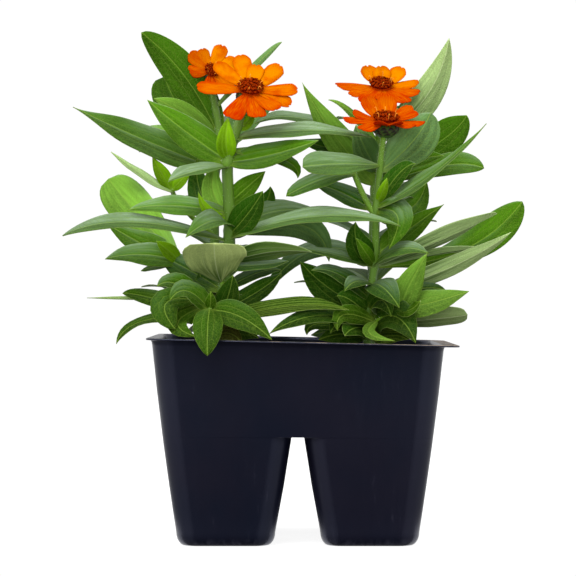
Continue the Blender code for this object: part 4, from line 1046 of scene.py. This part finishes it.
def add_crust(skin, look):
    """The crust: rounded squares shrinking to the middle, at the medium's height plus fine lumps.

    The lumps are a sum of seeded sine waves, 3 to 12 mm long, running in all directions.
    """
    draw = np.random.default_rng(8)
    corner = (CRUST_HALF, CRUST_HALF)
    outer = square_ring(np.negative(corner), corner, CRUST_RADIUS, 0.0, 8)
    outer = even_ring(outer, CRUST_AROUND)
    rings = outer[None] * np.linspace(1, 0.012, CRUST_RINGS)[:, None, None]
    x, y = rings[..., 0], rings[..., 1]
    lumps = np.zeros_like(x)
    for _ in range(CRUST_WAVES):
        turn = draw.uniform(0, 2 * math.pi)
        wave = 2 * math.pi / draw.uniform(3.0, 12.0)
        swing = draw.uniform(0.04, 0.16)
        walked = x * math.cos(turn) + y * math.sin(turn)
        lumps += swing * np.sin(wave * walked + draw.uniform(0, 6))
    rings[..., 2] = soil_height(x, y) + CRUST_RISE + lumps
    foot = outer.copy()
    foot[:, 2] = CRUST_FOOT
    skin.turned(np.concatenate([foot[None], rings]), tint=[*look.peat, 1.0])


WHITE = (1.0, 1.0, 1.0)
POT_GLOSS_TINT = (0.66, 0.70, 1.0)
PEAT_ROUGHNESS = 0.95
# Outputs of an Attribute node.
VECTOR, OPACITY = 1, 3


class Wire:
    """A shader socket that takes part in sums, products and quotients as a number does."""

    def __init__(self, paint, socket):
        self.paint = paint
        self.socket = socket

    def __add__(self, other):
        return self.paint.math("ADD", self, other)

    __radd__ = __add__

    def __sub__(self, other):
        return self.paint.math("SUBTRACT", self, other)

    def __rsub__(self, other):
        return self.paint.math("SUBTRACT", other, self)

    def __mul__(self, other):
        return self.paint.math("MULTIPLY", self, other)

    __rmul__ = __mul__

    def __truediv__(self, other):
        return self.paint.math("DIVIDE", self, other)

    def __abs__(self):
        return self.paint.math("ABSOLUTE", self)


class Paint:
    """The nodes of one material or world, and the few patterns that the finishes share."""

    def __init__(self, owner):
        owner.use_nodes = True
        self.owner = owner
        self.tree = owner.node_tree
        self.tree.nodes.clear()

    def node(self, kind, settings=(), sockets=(), output=0):
        """Any node: its type, its settings first, then the values or wires of its sockets."""
        made = self.tree.nodes.new(kind)
        for name, value in dict(settings).items():
            setattr(made, name, value)
        for name, value in dict(sockets).items():
            if isinstance(value, Wire):
                self.tree.links.new(value.socket, made.inputs[name])
            else:
                made.inputs[name].default_value = value
        return Wire(self, made.outputs[output]) if made.outputs else made

    def math(self, kind, *values):
        """One Math node."""
        return self.node("ShaderNodeMath", {"operation": kind}, enumerate(values))

    def parts(self, vector):
        """The three numbers of a vector."""
        first = self.node("ShaderNodeSeparateXYZ", (), {0: vector})
        return [Wire(self, output) for output in first.socket.node.outputs]

    def joined(self, x, y, z=0.0):
        """A vector from three numbers."""
        return self.node("ShaderNodeCombineXYZ", (), {0: x, 1: y, 2: z})

    def stored(self, name, output=0):
        """A named value of the mesh as a colour, or as the output VECTOR or OPACITY."""
        return self.node("ShaderNodeAttribute", {"attribute_name": name}, (), output)

    def spot(self):
        """Object coordinates, in metres."""
        return self.node("ShaderNodeTexCoord", (), (), 3)

    def upward(self):
        """How far the surface faces up."""
        return self.parts(self.node("ShaderNodeNewGeometry", (), (), 1))[2]

    def noise(self, vector, scale, detail=2.0, rough=0.5):
        """Soft noise between nought and one."""
        sockets = {"Vector": vector, "Scale": scale, "Detail": detail, "Roughness": rough}
        return self.node("ShaderNodeTexNoise", (), sockets)

    def ramp(self, value, low, high, first=0.0, second=1.0):
        """From the first number to the second as the value goes from low to high, eased."""
        sockets = {"Value": value, 1: low, 2: high, 3: first, 4: second}
        return self.node("ShaderNodeMapRange", {"interpolation_type": "SMOOTHSTEP"}, sockets)

    def near(self, value, width):
        """One where the value is nought, fading to nought at the width on either side."""
        return self.ramp(abs(value), 0.0, width, 1.0, 0.0)

    def mix(self, share, first, second, blend="MIX"):
        """Two colours mixed by a share."""
        settings = {"data_type": "RGBA", "blend_type": blend, "clamp_factor": True}
        first, second = (c if isinstance(c, Wire) else (*c[:3], 1.0) for c in (first, second))
        return self.node("ShaderNodeMix", settings, {0: share, 6: first, 7: second}, 2)

    def shaded(self, colour, value):
        """A colour times a grey value."""
        return self.mix(1.0, colour, value, "MULTIPLY")

    def bump(self, height, strength, distance):
        """A Bump node's normal, the distance in metres."""
        sockets = {"Strength": strength, "Distance": distance, "Height": height}
        return self.node("ShaderNodeBump", (), sockets)

    def finish(self, base, rough, normal, gloss=0.5, gloss_tint=WHITE, through=0.0, glow=WHITE):
        """The Principled shader, which lets some light through if asked; returns the material."""
        sockets = {"Base Color": base, "Roughness": rough, "Normal": normal}
        sockets |= {"Specular IOR Level": gloss, "Specular Tint": (*gloss_tint, 1.0)}
        shader = self.node("ShaderNodeBsdfPrincipled", (), sockets)
        if through:
            thin = self.node("ShaderNodeBsdfTranslucent", (), {"Color": (*glow, 1.0)})
            shader = self.node("ShaderNodeMixShader", (), {0: through, 1: shader, 2: thin})
        self.node("ShaderNodeOutputMaterial", (), {0: shader})
        return self.owner


def new_paint(name):
    """The paint of a new material."""
    return Paint(bpy.data.materials.new(name))


# Where leaves turn from the painted shade low in the plant to their full tone, and from no
# painted sheen to the full painted sheen, both as heights in metres.
SHADE_HEIGHTS = (0.085, 0.15)
SHEEN_HEIGHTS = (0.095, 0.13)


def leaf_paint(look):
    """Leaf: its own tone, a pale midrib, two side veins, slanting veins and a fine net.

    The lower half is painted darker than the upper one, as painted shade, and leaves low in the
    plant are painted darker, as painted shade. A painted sheen of sky turns the upper side paler
    where it faces up. Striped leaves have pale lines along them and no painted sheen. The lower
    side is paler, with painted shade that turns it deep green at its foot, and light veins, and
    the margin is a thin pale line.
    """
    paint = new_paint("leaf_blade")
    near, ramp, mix, noise = paint.near, paint.ramp, paint.mix, paint.noise
    tint = paint.stored("tint")
    place = paint.stored("place", VECTOR)
    along, across, margin = paint.parts(place)
    share, under, seed = paint.parts(paint.stored("side", VECTOR))
    spot = paint.spot()
    reach = abs(across)
    half = reach + margin
    # Veins
    midrib = near(across, 0.36)
    side = near(reach - half * (SIDE_VEIN - SIDE_VEIN * SIDE_VEIN_INWARD * share), 0.28)
    side = side * ramp(half, 1.5, 3.5) * ramp(share, 0.5, 0.95, 1.0, 0.0)
    slant = along - 1.1 * reach + 1.6 * noise(spot, 260.0, 2.0) + 40 * seed
    slanting = near(paint.math("PINGPONG", slant, 1.9), 0.2)
    settings = {"feature": "DISTANCE_TO_EDGE"}
    net = paint.node("ShaderNodeTexVoronoi", settings, {"Vector": place, "Scale": 0.85})
    net = near(net, 0.14)
    plain = paint.stored("tint", OPACITY)
    stripes = (1 - plain) * near(paint.math("PINGPONG", across, 1.5) - 0.75, 0.25)
    # Light and dark: random blotches, streaks of painted sheen along the blade, and painted
    # shade on the lower half.
    blotch = noise(spot, 75.0, 3.0, 0.6)
    fine = noise(spot, 1300.0, 2.0, 0.6)
    patch = noise(spot, 28.0, 2.0)
    # Streaks of painted sheen along the blade, lightening the tone and the sky's sheen.
    streak = paint.joined(0.05 * along, 5.0 * across / (half + 0.1), 9 * seed)
    streak = ramp(noise(streak, 1.0, 3.0, 0.6), 0.38, 0.68)
    # Painted shade: the lower half of the blade is darkened.
    low = ramp(across / (half + 0.1), -0.3, 0.3)
    light = 0.3 + 0.5 * blotch + 0.5 * fine + 0.6 * patch + 0.4 * streak - 0.46 * low
    height_above = paint.parts(spot)[2]
    # Painted shade: leaves low in the plant are darkened down to 0.4 of their tone.
    base = paint.shaded(tint, light * ramp(height_above, *SHADE_HEIGHTS, 0.4, 1.0))
    base = mix(0.5 * stripes, base, look.vein)
    # Painted sheen: where the upper side faces up it turns towards the sky's colour, less on the
    # shaded lower half and on leaves low in the plant.
    sheeny = ramp(paint.upward(), 0.35, 0.85) * (0.46 - 0.4 * low) * (0.6 + 0.6 * streak)
    sheeny = sheeny * ramp(height_above, *SHEEN_HEIGHTS) * plain
    base = mix(sheeny, base, look.down)
    soft = mix(0.4, tint, look.vein)
    base = mix(0.3 * net + 0.4 * slanting, base, soft)
    base = mix(0.35 * ramp(fine, 0.58, 0.72), base, soft)
    base = mix(ramp(share, 0.0, 0.16, 0.3, 0.0), base, look.vein)
    base = mix(0.25 * under, base, look.underside)
    # Painted shade: the lower side turns deep green towards its foot.
    base = mix(under * (ramp(share, 0.1, 0.8, 0.7, 0.0) * (1.2 - streak)), base, look.deep)
    vein = mix(under, look.vein, look.under_vein)
    base = mix(0.42 * midrib + 0.18 * side, base, vein)
    base = mix(0.35 * near(margin, 0.25), base, vein)
    height = 0.5 * net + 0.25 * fine - 0.8 * slanting - 0.6 * side + 0.5 * blotch
    rough = 0.40 + 0.12 * blotch + 0.08 * under
    normal = paint.bump(height, 0.55, 0.0003)
    return paint.finish(
        base, rough, normal, look.leaf_gloss, through=look.leaf_through, glow=look.leaf_glow
    )


def stalk_paint():
    """Stem: its own green with long streaks and faint blotches, and a satin surface."""
    paint = new_paint("stalk")
    x, y, z = paint.parts(paint.spot())
    streak = paint.noise(paint.joined(x * 900, y * 900, z * 60), 1.0, 2.0)
    blotch = paint.noise(paint.spot(), 90.0, 2.0)
    base = paint.shaded(paint.stored("tint"), 0.65 + 0.4 * streak + 0.3 * blotch)
    return paint.finish(base, 0.42 + 0.2 * streak, paint.bump(streak, 0.4, 0.0003))


def cup_paint(look):
    """Scales of the cup: green at the foot, nearly black at the tip with a thin brown edge."""
    paint = new_paint("cup_scale")
    share, v, _ = paint.parts(paint.stored("place", VECTOR))
    grain = paint.noise(paint.spot(), 900.0, 2.0)
    tip = paint.ramp(share + 0.25 * grain, 0.55, 0.95)
    base = paint.mix(tip, paint.stored("tint"), look.cup_tip)
    base = paint.mix(0.5 * paint.ramp(abs(v), 0.75, 1.0) * tip, base, look.cup_edge)
    base = paint.shaded(base, 0.7 + 0.6 * grain)
    normal = paint.bump(grain + paint.near(v, 0.25), 0.5, 0.0002)
    return paint.finish(base, 0.5 + 0.2 * grain, normal)


def petal_paint(look):
    """Ray petal: orange, redder at root, edges and tip, with fine streaks; duller below."""
    paint = new_paint("ray_petal")
    ramp, mix = paint.ramp, paint.mix
    share, under, _ = paint.parts(paint.stored("side", VECTOR))
    v, along, shift = paint.parts(paint.stored("place", VECTOR))
    streak = paint.noise(paint.joined(v * 3.4, along * 0.16, shift), 1.0, 2.0)
    fine = paint.noise(paint.joined(v * 12.0, along * 0.7, shift), 1.0, 1.0)
    cloud = paint.noise(paint.spot(), 160.0, 2.0)
    base = mix(0.5 * ramp(streak, 0.35, 0.7), paint.stored("tint"), look.petal_gold_and_lit)
    base = mix(0.55 * ramp(cloud, 0.45, 0.75), base, look.petal_red_and_shade)
    base = mix(ramp(share, 0.78, 1.0, 0.0, 0.45), base, look.petal_red_and_shade)
    # Painted shade: redder at the root and along the edges, where petals shade one another.
    base = mix(ramp(share, 0.0, 0.3, 0.5, 0.0), base, look.petal_red_and_shade)
    base = mix(0.4 * ramp(abs(v), 2.4, 4.2), base, look.petal_red_and_shade)
    base = mix(under * 0.65, base, look.petal_back)
    base = paint.shaded(base, 0.52 + 0.26 * fine)
    rough = 0.48 + 0.15 * streak
    normal = paint.bump(0.7 * streak + 0.3 * fine, 0.5, 0.0003)
    return paint.finish(
        base, rough, normal, 0.0, through=look.petal_through, glow=look.petal_glow
    )


def floret_paint():
    """Disc florets: dark maroon brown and finely mottled."""
    paint = new_paint("disc_floret")
    grain = paint.noise(paint.spot(), 1200.0, 2.0)
    base = paint.shaded(paint.stored("tint"), 0.5 + grain)
    return paint.finish(base, 0.55 + 0.2 * grain, paint.bump(grain, 0.4, 0.0002), 0.0)


def pot_paint(look):
    """Thermoformed sheet: dark navy, faintly clouded and scuffed, with dust on the rim's top."""
    paint = new_paint("pot_sheet")
    ramp, mix, noise = paint.ramp, paint.mix, paint.noise
    spot = paint.spot()
    x, y, z = paint.parts(spot)
    cloud = noise(spot, 22.0, 3.0, 0.55)
    scuff = noise(paint.joined(x * 420, y * 420, z * 30), 1.0, 3.0, 0.7)
    grain = noise(spot, 2600.0, 2.0)
    base = mix(ramp(cloud, 0.35, 0.65), look.pot_navy, look.pot_plum)
    base = mix(0.12 * ramp(scuff, 0.62, 0.8), base, look.pot_scuff)
    level = ramp(z, 0.0835, 0.086) * ramp(paint.upward(), 0.6, 0.95)
    dust = level * ramp(noise(spot, 190.0, 4.0, 0.7) + 1.6 * x, 0.42, 0.68)
    base = mix(0.75 * dust, base, look.dust)
    foot = ramp(z, 0.0, 0.004, 0.35, 0.0) * ramp(scuff, 0.4, 0.7)
    base = mix(foot, base, look.pot_scuff)
    rough = look.pot_roughness + 0.10 * cloud + 0.5 * dust + 0.06 * scuff
    normal = paint.bump(0.5 * cloud + 0.12 * grain + 0.1 * scuff, 0.35, 0.0006)
    return paint.finish(base, rough, normal, look.pot_gloss, POT_GLOSS_TINT)


def peat_paint():
    """Peat, bark and grains: their own tints, mottled and rough."""
    paint = new_paint("peat_crumb")
    grain = paint.noise(paint.spot(), 1500.0, 3.0, 0.65)
    lump = paint.noise(paint.spot(), 300.0, 2.0)
    base = paint.shaded(paint.stored("tint"), 0.35 + 0.8 * grain + 0.4 * lump)
    return paint.finish(base, PEAT_ROUGHNESS, paint.bump(grain + lump, 0.8, 0.0006))


def medium_paint(look):
    """The solid block of peat below the crumbs, as seen through the drain holes."""
    paint = new_paint("peat_block")
    grain = paint.noise(paint.spot(), 420.0, 4.0, 0.7)
    fibre = paint.noise(paint.spot(), 1500.0, 2.0)
    base = paint.mix(paint.ramp(grain, 0.35, 0.7), look.peat, look.bark)
    base = paint.shaded(base, 0.5 + 0.7 * fibre)
    return paint.finish(base, PEAT_ROUGHNESS, paint.bump(grain + 0.5 * fibre, 1.0, 0.0012))


# Half the table's width at its near and its far edge, in metres.
TABLE_HALF_WIDTHS = (0.075, 0.75)


def floor_mesh(look):
    """The studio table: one flat sheet that ends just before the pack's front."""
    low, high = look.floor_near, look.floor_far
    near, far = TABLE_HALF_WIDTHS
    points = [(-near, low, 0.0), (near, low, 0.0), (far, high, 0.0), (-far, high, 0.0)]
    mesh = bpy.data.meshes.new("studio_table")
    mesh.from_pydata(points, [], [(0, 1, 2, 3)])
    return mesh


def add_light(name, place, aim, size, energy, matt):
    """A rectangular soft light, turned to its aim; a matt one makes no reflections."""
    light = bpy.data.lights.new(name, "AREA")
    light.shape = "RECTANGLE"
    light.size, light.size_y = size
    light.energy = energy
    thing = placed(name, light)
    thing.location = place
    thing.visible_glossy = not matt
    way = Vector(aim) - Vector(place)
    thing.rotation_euler = way.to_track_quat("-Z", "Y").to_euler()


# The brightness that the camera sees behind the part, and the dim light from below.
BACKDROP = 1.02
FROM_BELOW = 0.25


def build_world(look):
    """A white room with a dark gap behind the camera, seen as plain white by the camera itself."""
    world = bpy.data.worlds.new("studio")
    bpy.context.scene.world = world
    paint = Paint(world)
    ramp = paint.ramp
    x, y, z = paint.parts(paint.node("ShaderNodeTexCoord", (), (), 0))
    sides = ramp(abs(x), 0.1, 0.3) * ramp(y, -0.1, 0.5, 1.0, 0.7)
    behind = ramp(y, -0.25, 0.25, 0.0, 0.7)
    above = ramp(z, 0.45, 0.75)
    lit = paint.math("MAXIMUM", paint.math("MAXIMUM", sides, behind), above)
    lit = lit * ramp(z, -0.3, -0.12, FROM_BELOW, 1.0)
    strength = look.room_front + (look.room - look.room_front) * lit
    seen = paint.node("ShaderNodeLightPath", (), (), 0)
    strength = strength + seen * (BACKDROP - strength)
    sockets = {"Color": (*WHITE, 1.0), "Strength": strength}
    paint.node("ShaderNodeOutputWorld", (), {0: paint.node("ShaderNodeBackground", (), sockets)})


# Each row: the name of a light's setting, its place, aim and size in metres, and whether it is
# matt.
LIGHTS = (
    ("key", (-0.5, -1.2, 1.9), (0, 0, 0.12), (1.2, 1.2), False),
    ("top", (0.0, 0.5, 2.2), (0, 0, 0.1), (2.0, 2.0), False),
    ("fill", (0.0, -2.2, 0.35), (0, 0, 0.14), (1.6, 1.2), True),
)


def build_stage(look):
    """Floor, lights and camera."""
    floor = placed("studio_table", floor_mesh(look))
    paint = new_paint("studio_paper")
    sockets = {
        "Base Color": (*look.floor, 1.0),
        "Roughness": 0.9,
        "Specular IOR Level": 0.0,
        "Emission Color": (*WHITE, 1.0),
        "Emission Strength": look.floor_glow,
    }
    shader = paint.node("ShaderNodeBsdfPrincipled", (), sockets)
    paint.node("ShaderNodeOutputMaterial", (), {0: shader})
    floor.data.materials.append(paint.owner)
    build_world(look)
    for name, place, aim, size, matt in LIGHTS:
        add_light(name, place, aim, size, getattr(look, name), matt)
    lens = bpy.data.cameras.new("camera")
    lens.sensor_width = 36.0
    lens.lens = look.lens
    lens.clip_start = 0.05
    camera = placed("camera", lens)
    camera.location = Vector(look.camera)
    camera.rotation_euler = (math.pi / 2, 0.0, 0.0)
    scene = bpy.context.scene
    scene.camera = camera
    scene.view_settings.view_transform = "Standard"


def colour_property(name, code, description):
    """A colour setting with its default from a six digit code."""
    return bpy.props.FloatVectorProperty(
        name=name, description=description, subtype="COLOR", size=3, min=0.0, max=1.0,
        default=linear(code),
    )


def number(name, default, description, low=0.0, high=10.0, subtype="NONE", unit="NONE"):
    """A number setting."""
    return bpy.props.FloatProperty(
        name=name, description=description, default=default, min=low, max=high,
        subtype=subtype, unit=unit,
    )


def fraction(name, default, description):
    """A setting between nought and one."""
    return number(name, default, description, 0.0, 1.0, "FACTOR")


def whole(name, default, description, low, high):
    """A whole number setting."""
    return bpy.props.IntProperty(
        name=name, description=description, default=default, min=low, max=high
    )


class ZinniaPlantLook(bpy.types.PropertyGroup):
    """Sizes and colours of leaves, stems and cups."""

    # Painted light and shade among the tones: bright is a lit copy of the leaf green and deep a
    # shaded one, greyed a copy with painted sheen, light a copy with painted light coming through
    # the blade, and folded the lower side painted paler, as if lit.
    bright: colour_property("Bright", "3A6406", "Leaves that face the light")
    middling: colour_property("Middling", "305806", "Most leaves")
    deep: colour_property("Deep", "1C4805", "Leaves deep in the plant")
    greyed: colour_property("Greyed", "3E631D", "Leaves seen along their downy surface")
    pale: colour_property("Pale", "A2C07A", "Leaves that show their lower side")
    young: colour_property("Young", "6C9C0A", "Young leaves at the tips")
    misty: colour_property("Misty", "587C44", "Downy leaves that stand upright")
    folded: colour_property("Folded", "CFE088", "Lower side of the folded leaf")
    light: colour_property("Light", "6C9A32", "Thin leaves with light behind them")
    striped: colour_property("Striped", "2E500A", "Leaves with strong side veins")
    dry: colour_property("Dry", "4A4418", "Withered leaf at the foot")
    vein: colour_property("Vein", "90AC40", "Midrib, veins and margin")
    under_vein: colour_property("Under vein", "D2DEAA", "Midrib and veins of the lower side")
    # The sky's colour in the painted sheen on the upper side of leaves.
    down: colour_property("Down", "A6B6A4", "Sky on the downy upper side of a leaf")
    underside: colour_property("Underside", "A8BC7C", "What the lower side is mixed with")
    leaf_glow: colour_property("Glow", "84B408", "Light that comes through a leaf")
    stalk: colour_property("Stalk", "3F6114", "Stem near the soil")
    shoot: colour_property("Shoot", "5C821A", "Stem near the bloom, and shoots")
    hair: colour_property("Hair", "D8E6C8", "Short hairs of the stem")
    cup: colour_property("Cup", "3E5A22", "Scales under the bloom")
    cup_tip: colour_property("Cup tip", "17150C", "Dark end of each scale")
    cup_edge: colour_property("Cup edge", "5A3A1C", "Thin edge of each scale")
    thickness: number("Blade thickness", 0.5, "Thickness of a leaf in millimetres", 0.2, 1.0)
    vein_depth: number("Vein depth", 0.22, "Depth of the midrib's groove in millimetres", 0.0, 0.5)
    arch: number("Arch", 0.10, "How far margins turn down, as a share of the half width", 0.0, 0.5)
    wave: number("Margin wave", 0.035, "Swing of the margins as a share of the width", 0.0, 0.2)
    swelling: fraction("Node swelling", 0.16, "How much thicker a stem is where leaves start")
    hairs: number("Hairs", 5.0, "Stem hairs to a millimetre of length", 0.0, 20.0)
    hair_length: number("Hair length", 0.8, "Length of a stem hair in millimetres", 0.0, 3.0)
    leaf_gloss: fraction("Leaf gloss", 0.04, "Specular level of a leaf")
    leaf_through: fraction("Light through", 0.16, "Share of light let through a leaf")


class ZinniaBloomLook(bpy.types.PropertyGroup):
    """Sizes and colours of petals and florets."""

    # Gold and red are the petals' own colours and also painted light and shade: gold for petals
    # turned to the light, red for petals turned away and for painted shade at roots and edges.
    petal_gold_and_lit: colour_property("Petal gold", "FF9E00", "Petals turned to the light")
    petal_red_and_shade: colour_property("Petal red", "D02A00", "Petals turned away, roots and tips")
    petal_back: colour_property("Petal back", "BC3200", "Lower side of a petal")
    petal_glow: colour_property("Petal glow", "FF7200", "Light that comes through a petal")
    disc: colour_property("Disc", "5E1001", "Florets and dome of the disc")
    floret_lip: colour_property("Floret lip", "A03C06", "Rim of a floret")
    thread: colour_property("Thread", "D8862C", "Curled threads among the florets")
    petal_thickness: number("Thickness", 0.35, "Thickness of a petal in millimetres", 0.1, 1.0)
    rib: number("Rib", 0.07, "Height of the petal's ribs in millimetres", 0.0, 0.3)
    notch: number("Notch", 0.9, "Depth of the petal's notch in millimetres", 0.0, 3.0)
    petal_through: fraction("Light through", 0.25, "Share of light let through a petal")
    threads: whole("Threads", 6, "Threads on a disc", 0, 40)


class ZinniaPotLook(bpy.types.PropertyGroup):
    """Sizes and colours of the pack and the growing medium."""

    pot_navy: colour_property("Navy", "070A16", "Sheet of the pack")
    pot_plum: colour_property("Plum", "0B0A15", "Faint clouds in the sheet")
    pot_scuff: colour_property("Scuff", "4A4A58", "Rubbed places")
    dust: colour_property("Dust", "8A7A66", "Dry soil on the rim")
    peat: colour_property("Peat", "4A3B2C", "Crumbs of peat")
    bark: colour_property("Bark", "6A4F36", "Chips of bark")
    grain: colour_property("Grain", "D8D2C4", "White grains")
    pot_wall: number("Wall", 0.9, "Thickness of the sheet in millimetres", 0.3, 2.0)
    pot_gloss: fraction("Gloss", 0.6, "Specular level of the sheet")
    pot_roughness: fraction("Roughness", 0.22, "Roughness of the sheet")
    corner_steps: whole("Corner steps", 9, "Facets of a corner", 2, 24)
    crumbs: whole("Crumbs", 1500, "Crumbs of peat", 0, 4000)


class ZinniaStageLook(bpy.types.PropertyGroup):
    """Camera, lights and floor."""

    camera: bpy.props.FloatVectorProperty(
        name="Camera", description="Place of the camera", subtype="TRANSLATION", unit="LENGTH",
        default=(-0.0042, -1.2667, 0.1104),
    )
    lens: number("Lens", 178.02, "Focal length in millimetres", 1.0, 1000.0, unit="CAMERA")
    floor_near: number(
        "Near edge", -0.0485, "Where the table ends before the pack", -5.0, 0.0, unit="LENGTH"
    )
    floor_far: number("Far edge", 3.0, "Where the table ends behind", 0.1, 20.0, unit="LENGTH")
    floor: colour_property("Floor", "8A8A8A", "Studio table")
    floor_glow: number("Table glow", 0.9, "Light that the table gives off, which keeps it white")
    room: number("Room light", 1.1, "Brightness of the room")
    room_front: number("Front light", 0.01, "Brightness of the room behind the camera")
    key: number("Key", 40.0, "Power of the key light", 0.0, 1000.0, unit="POWER")
    top: number("Top", 14.0, "Power of the top light", 0.0, 1000.0, unit="POWER")
    fill: number("Fill", 30.0, "Power of the matt light in front", 0.0, 1000.0, unit="POWER")


def for_each_plant(build, look, material):
    """Build a piece of every plant, and say that the step is done."""
    for place in PLACES:
        build(place, look, material)
    return {"FINISHED"}


class ZINNIA_OT_cell_pack(bpy.types.Operator):
    """Build the plastic cell pack"""

    bl_idname = "zinnia.cell_pack"
    bl_label = "Cell Pack"

    def execute(self, context):
        look = context.scene.zinnia_pot
        build_pot(look, pot_paint(look))
        return {"FINISHED"}


class ZINNIA_OT_growing_medium(bpy.types.Operator):
    """Finish the growing medium and strew crumbs on it"""

    bl_idname = "zinnia.growing_medium"
    bl_label = "Growing Medium"

    def execute(self, context):
        look = context.scene.zinnia_pot
        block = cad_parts["growing_medium"].data.materials
        block.clear()
        block.append(medium_paint(look))
        skin = Skin()
        add_crumbs(skin, look)
        add_crust(skin, look)
        skin.piece("peat_crumbs", peat_paint(), [])
        return {"FINISHED"}


class ZINNIA_OT_stalks(bpy.types.Operator):
    """Build the stems, side shoots and their hairs"""

    bl_idname = "zinnia.stalks"
    bl_label = "Stalks"

    def execute(self, context):
        look = context.scene.zinnia_plant
        return for_each_plant(build_stalks, look, stalk_paint())


class ZINNIA_OT_foliage(bpy.types.Operator):
    """Build every leaf"""

    bl_idname = "zinnia.foliage"
    bl_label = "Foliage"

    def execute(self, context):
        look = context.scene.zinnia_plant
        return for_each_plant(build_foliage, look, leaf_paint(look))


class ZINNIA_OT_flower_cups(bpy.types.Operator):
    """Build the scaly cup under each bloom"""

    bl_idname = "zinnia.flower_cups"
    bl_label = "Flower Cups"

    def execute(self, context):
        look = context.scene.zinnia_plant
        return for_each_plant(build_cup, look, cup_paint(look))


class ZINNIA_OT_ray_petals(bpy.types.Operator):
    """Build the orange ray petals"""

    bl_idname = "zinnia.ray_petals"
    bl_label = "Ray Petals"

    def execute(self, context):
        look = context.scene.zinnia_bloom
        return for_each_plant(build_petals, look, petal_paint(look))


class ZINNIA_OT_florets(bpy.types.Operator):
    """Build the discs of florets"""

    bl_idname = "zinnia.florets"
    bl_label = "Florets"

    def execute(self, context):
        look = context.scene.zinnia_bloom
        return for_each_plant(build_florets, look, floret_paint())


class ZINNIA_OT_stage(bpy.types.Operator):
    """Set up the floor, the lights and the camera"""

    bl_idname = "zinnia.stage"
    bl_label = "Stage"

    def execute(self, context):
        build_stage(context.scene.zinnia_stage)
        return {"FINISHED"}


OPERATORS = (
    ZINNIA_OT_stage,
    ZINNIA_OT_cell_pack,
    ZINNIA_OT_growing_medium,
    ZINNIA_OT_stalks,
    ZINNIA_OT_foliage,
    ZINNIA_OT_flower_cups,
    ZINNIA_OT_ray_petals,
    ZINNIA_OT_florets,
)


class ZINNIA_PT_sidebar(bpy.types.Panel):
    """Lists the steps of the potted zinnia"""

    bl_idname = "ZINNIA_PT_sidebar"
    bl_label = "Potted Zinnia"
    bl_space_type = "VIEW_3D"
    bl_region_type = "UI"
    bl_category = "Zinnia"

    def draw(self, context):
        for operator in OPERATORS:
            self.layout.operator(operator.bl_idname)


LOOKS = {
    "zinnia_plant": ZinniaPlantLook,
    "zinnia_bloom": ZinniaBloomLook,
    "zinnia_pot": ZinniaPotLook,
    "zinnia_stage": ZinniaStageLook,
}


def register():
    """Register the classes and add the settings to the scene."""
    for made in (*LOOKS.values(), *OPERATORS, ZINNIA_PT_sidebar):
        bpy.utils.register_class(made)
    for name, made in LOOKS.items():
        setattr(bpy.types.Scene, name, bpy.props.PointerProperty(type=made))


def unregister():
    """Take the settings off the scene and unregister the classes."""
    for name in LOOKS:
        delattr(bpy.types.Scene, name)
    for made in (ZINNIA_PT_sidebar, *reversed(OPERATORS), *reversed(LOOKS.values())):
        bpy.utils.unregister_class(made)


def main():
    """Build every piece."""
    register()
    bpy.ops.zinnia.stage()
    bpy.ops.zinnia.cell_pack()
    bpy.ops.zinnia.growing_medium()
    bpy.ops.zinnia.stalks()
    bpy.ops.zinnia.foliage()
    bpy.ops.zinnia.flower_cups()
    bpy.ops.zinnia.ray_petals()
    bpy.ops.zinnia.florets()


if __name__ == "__main__":
    main()
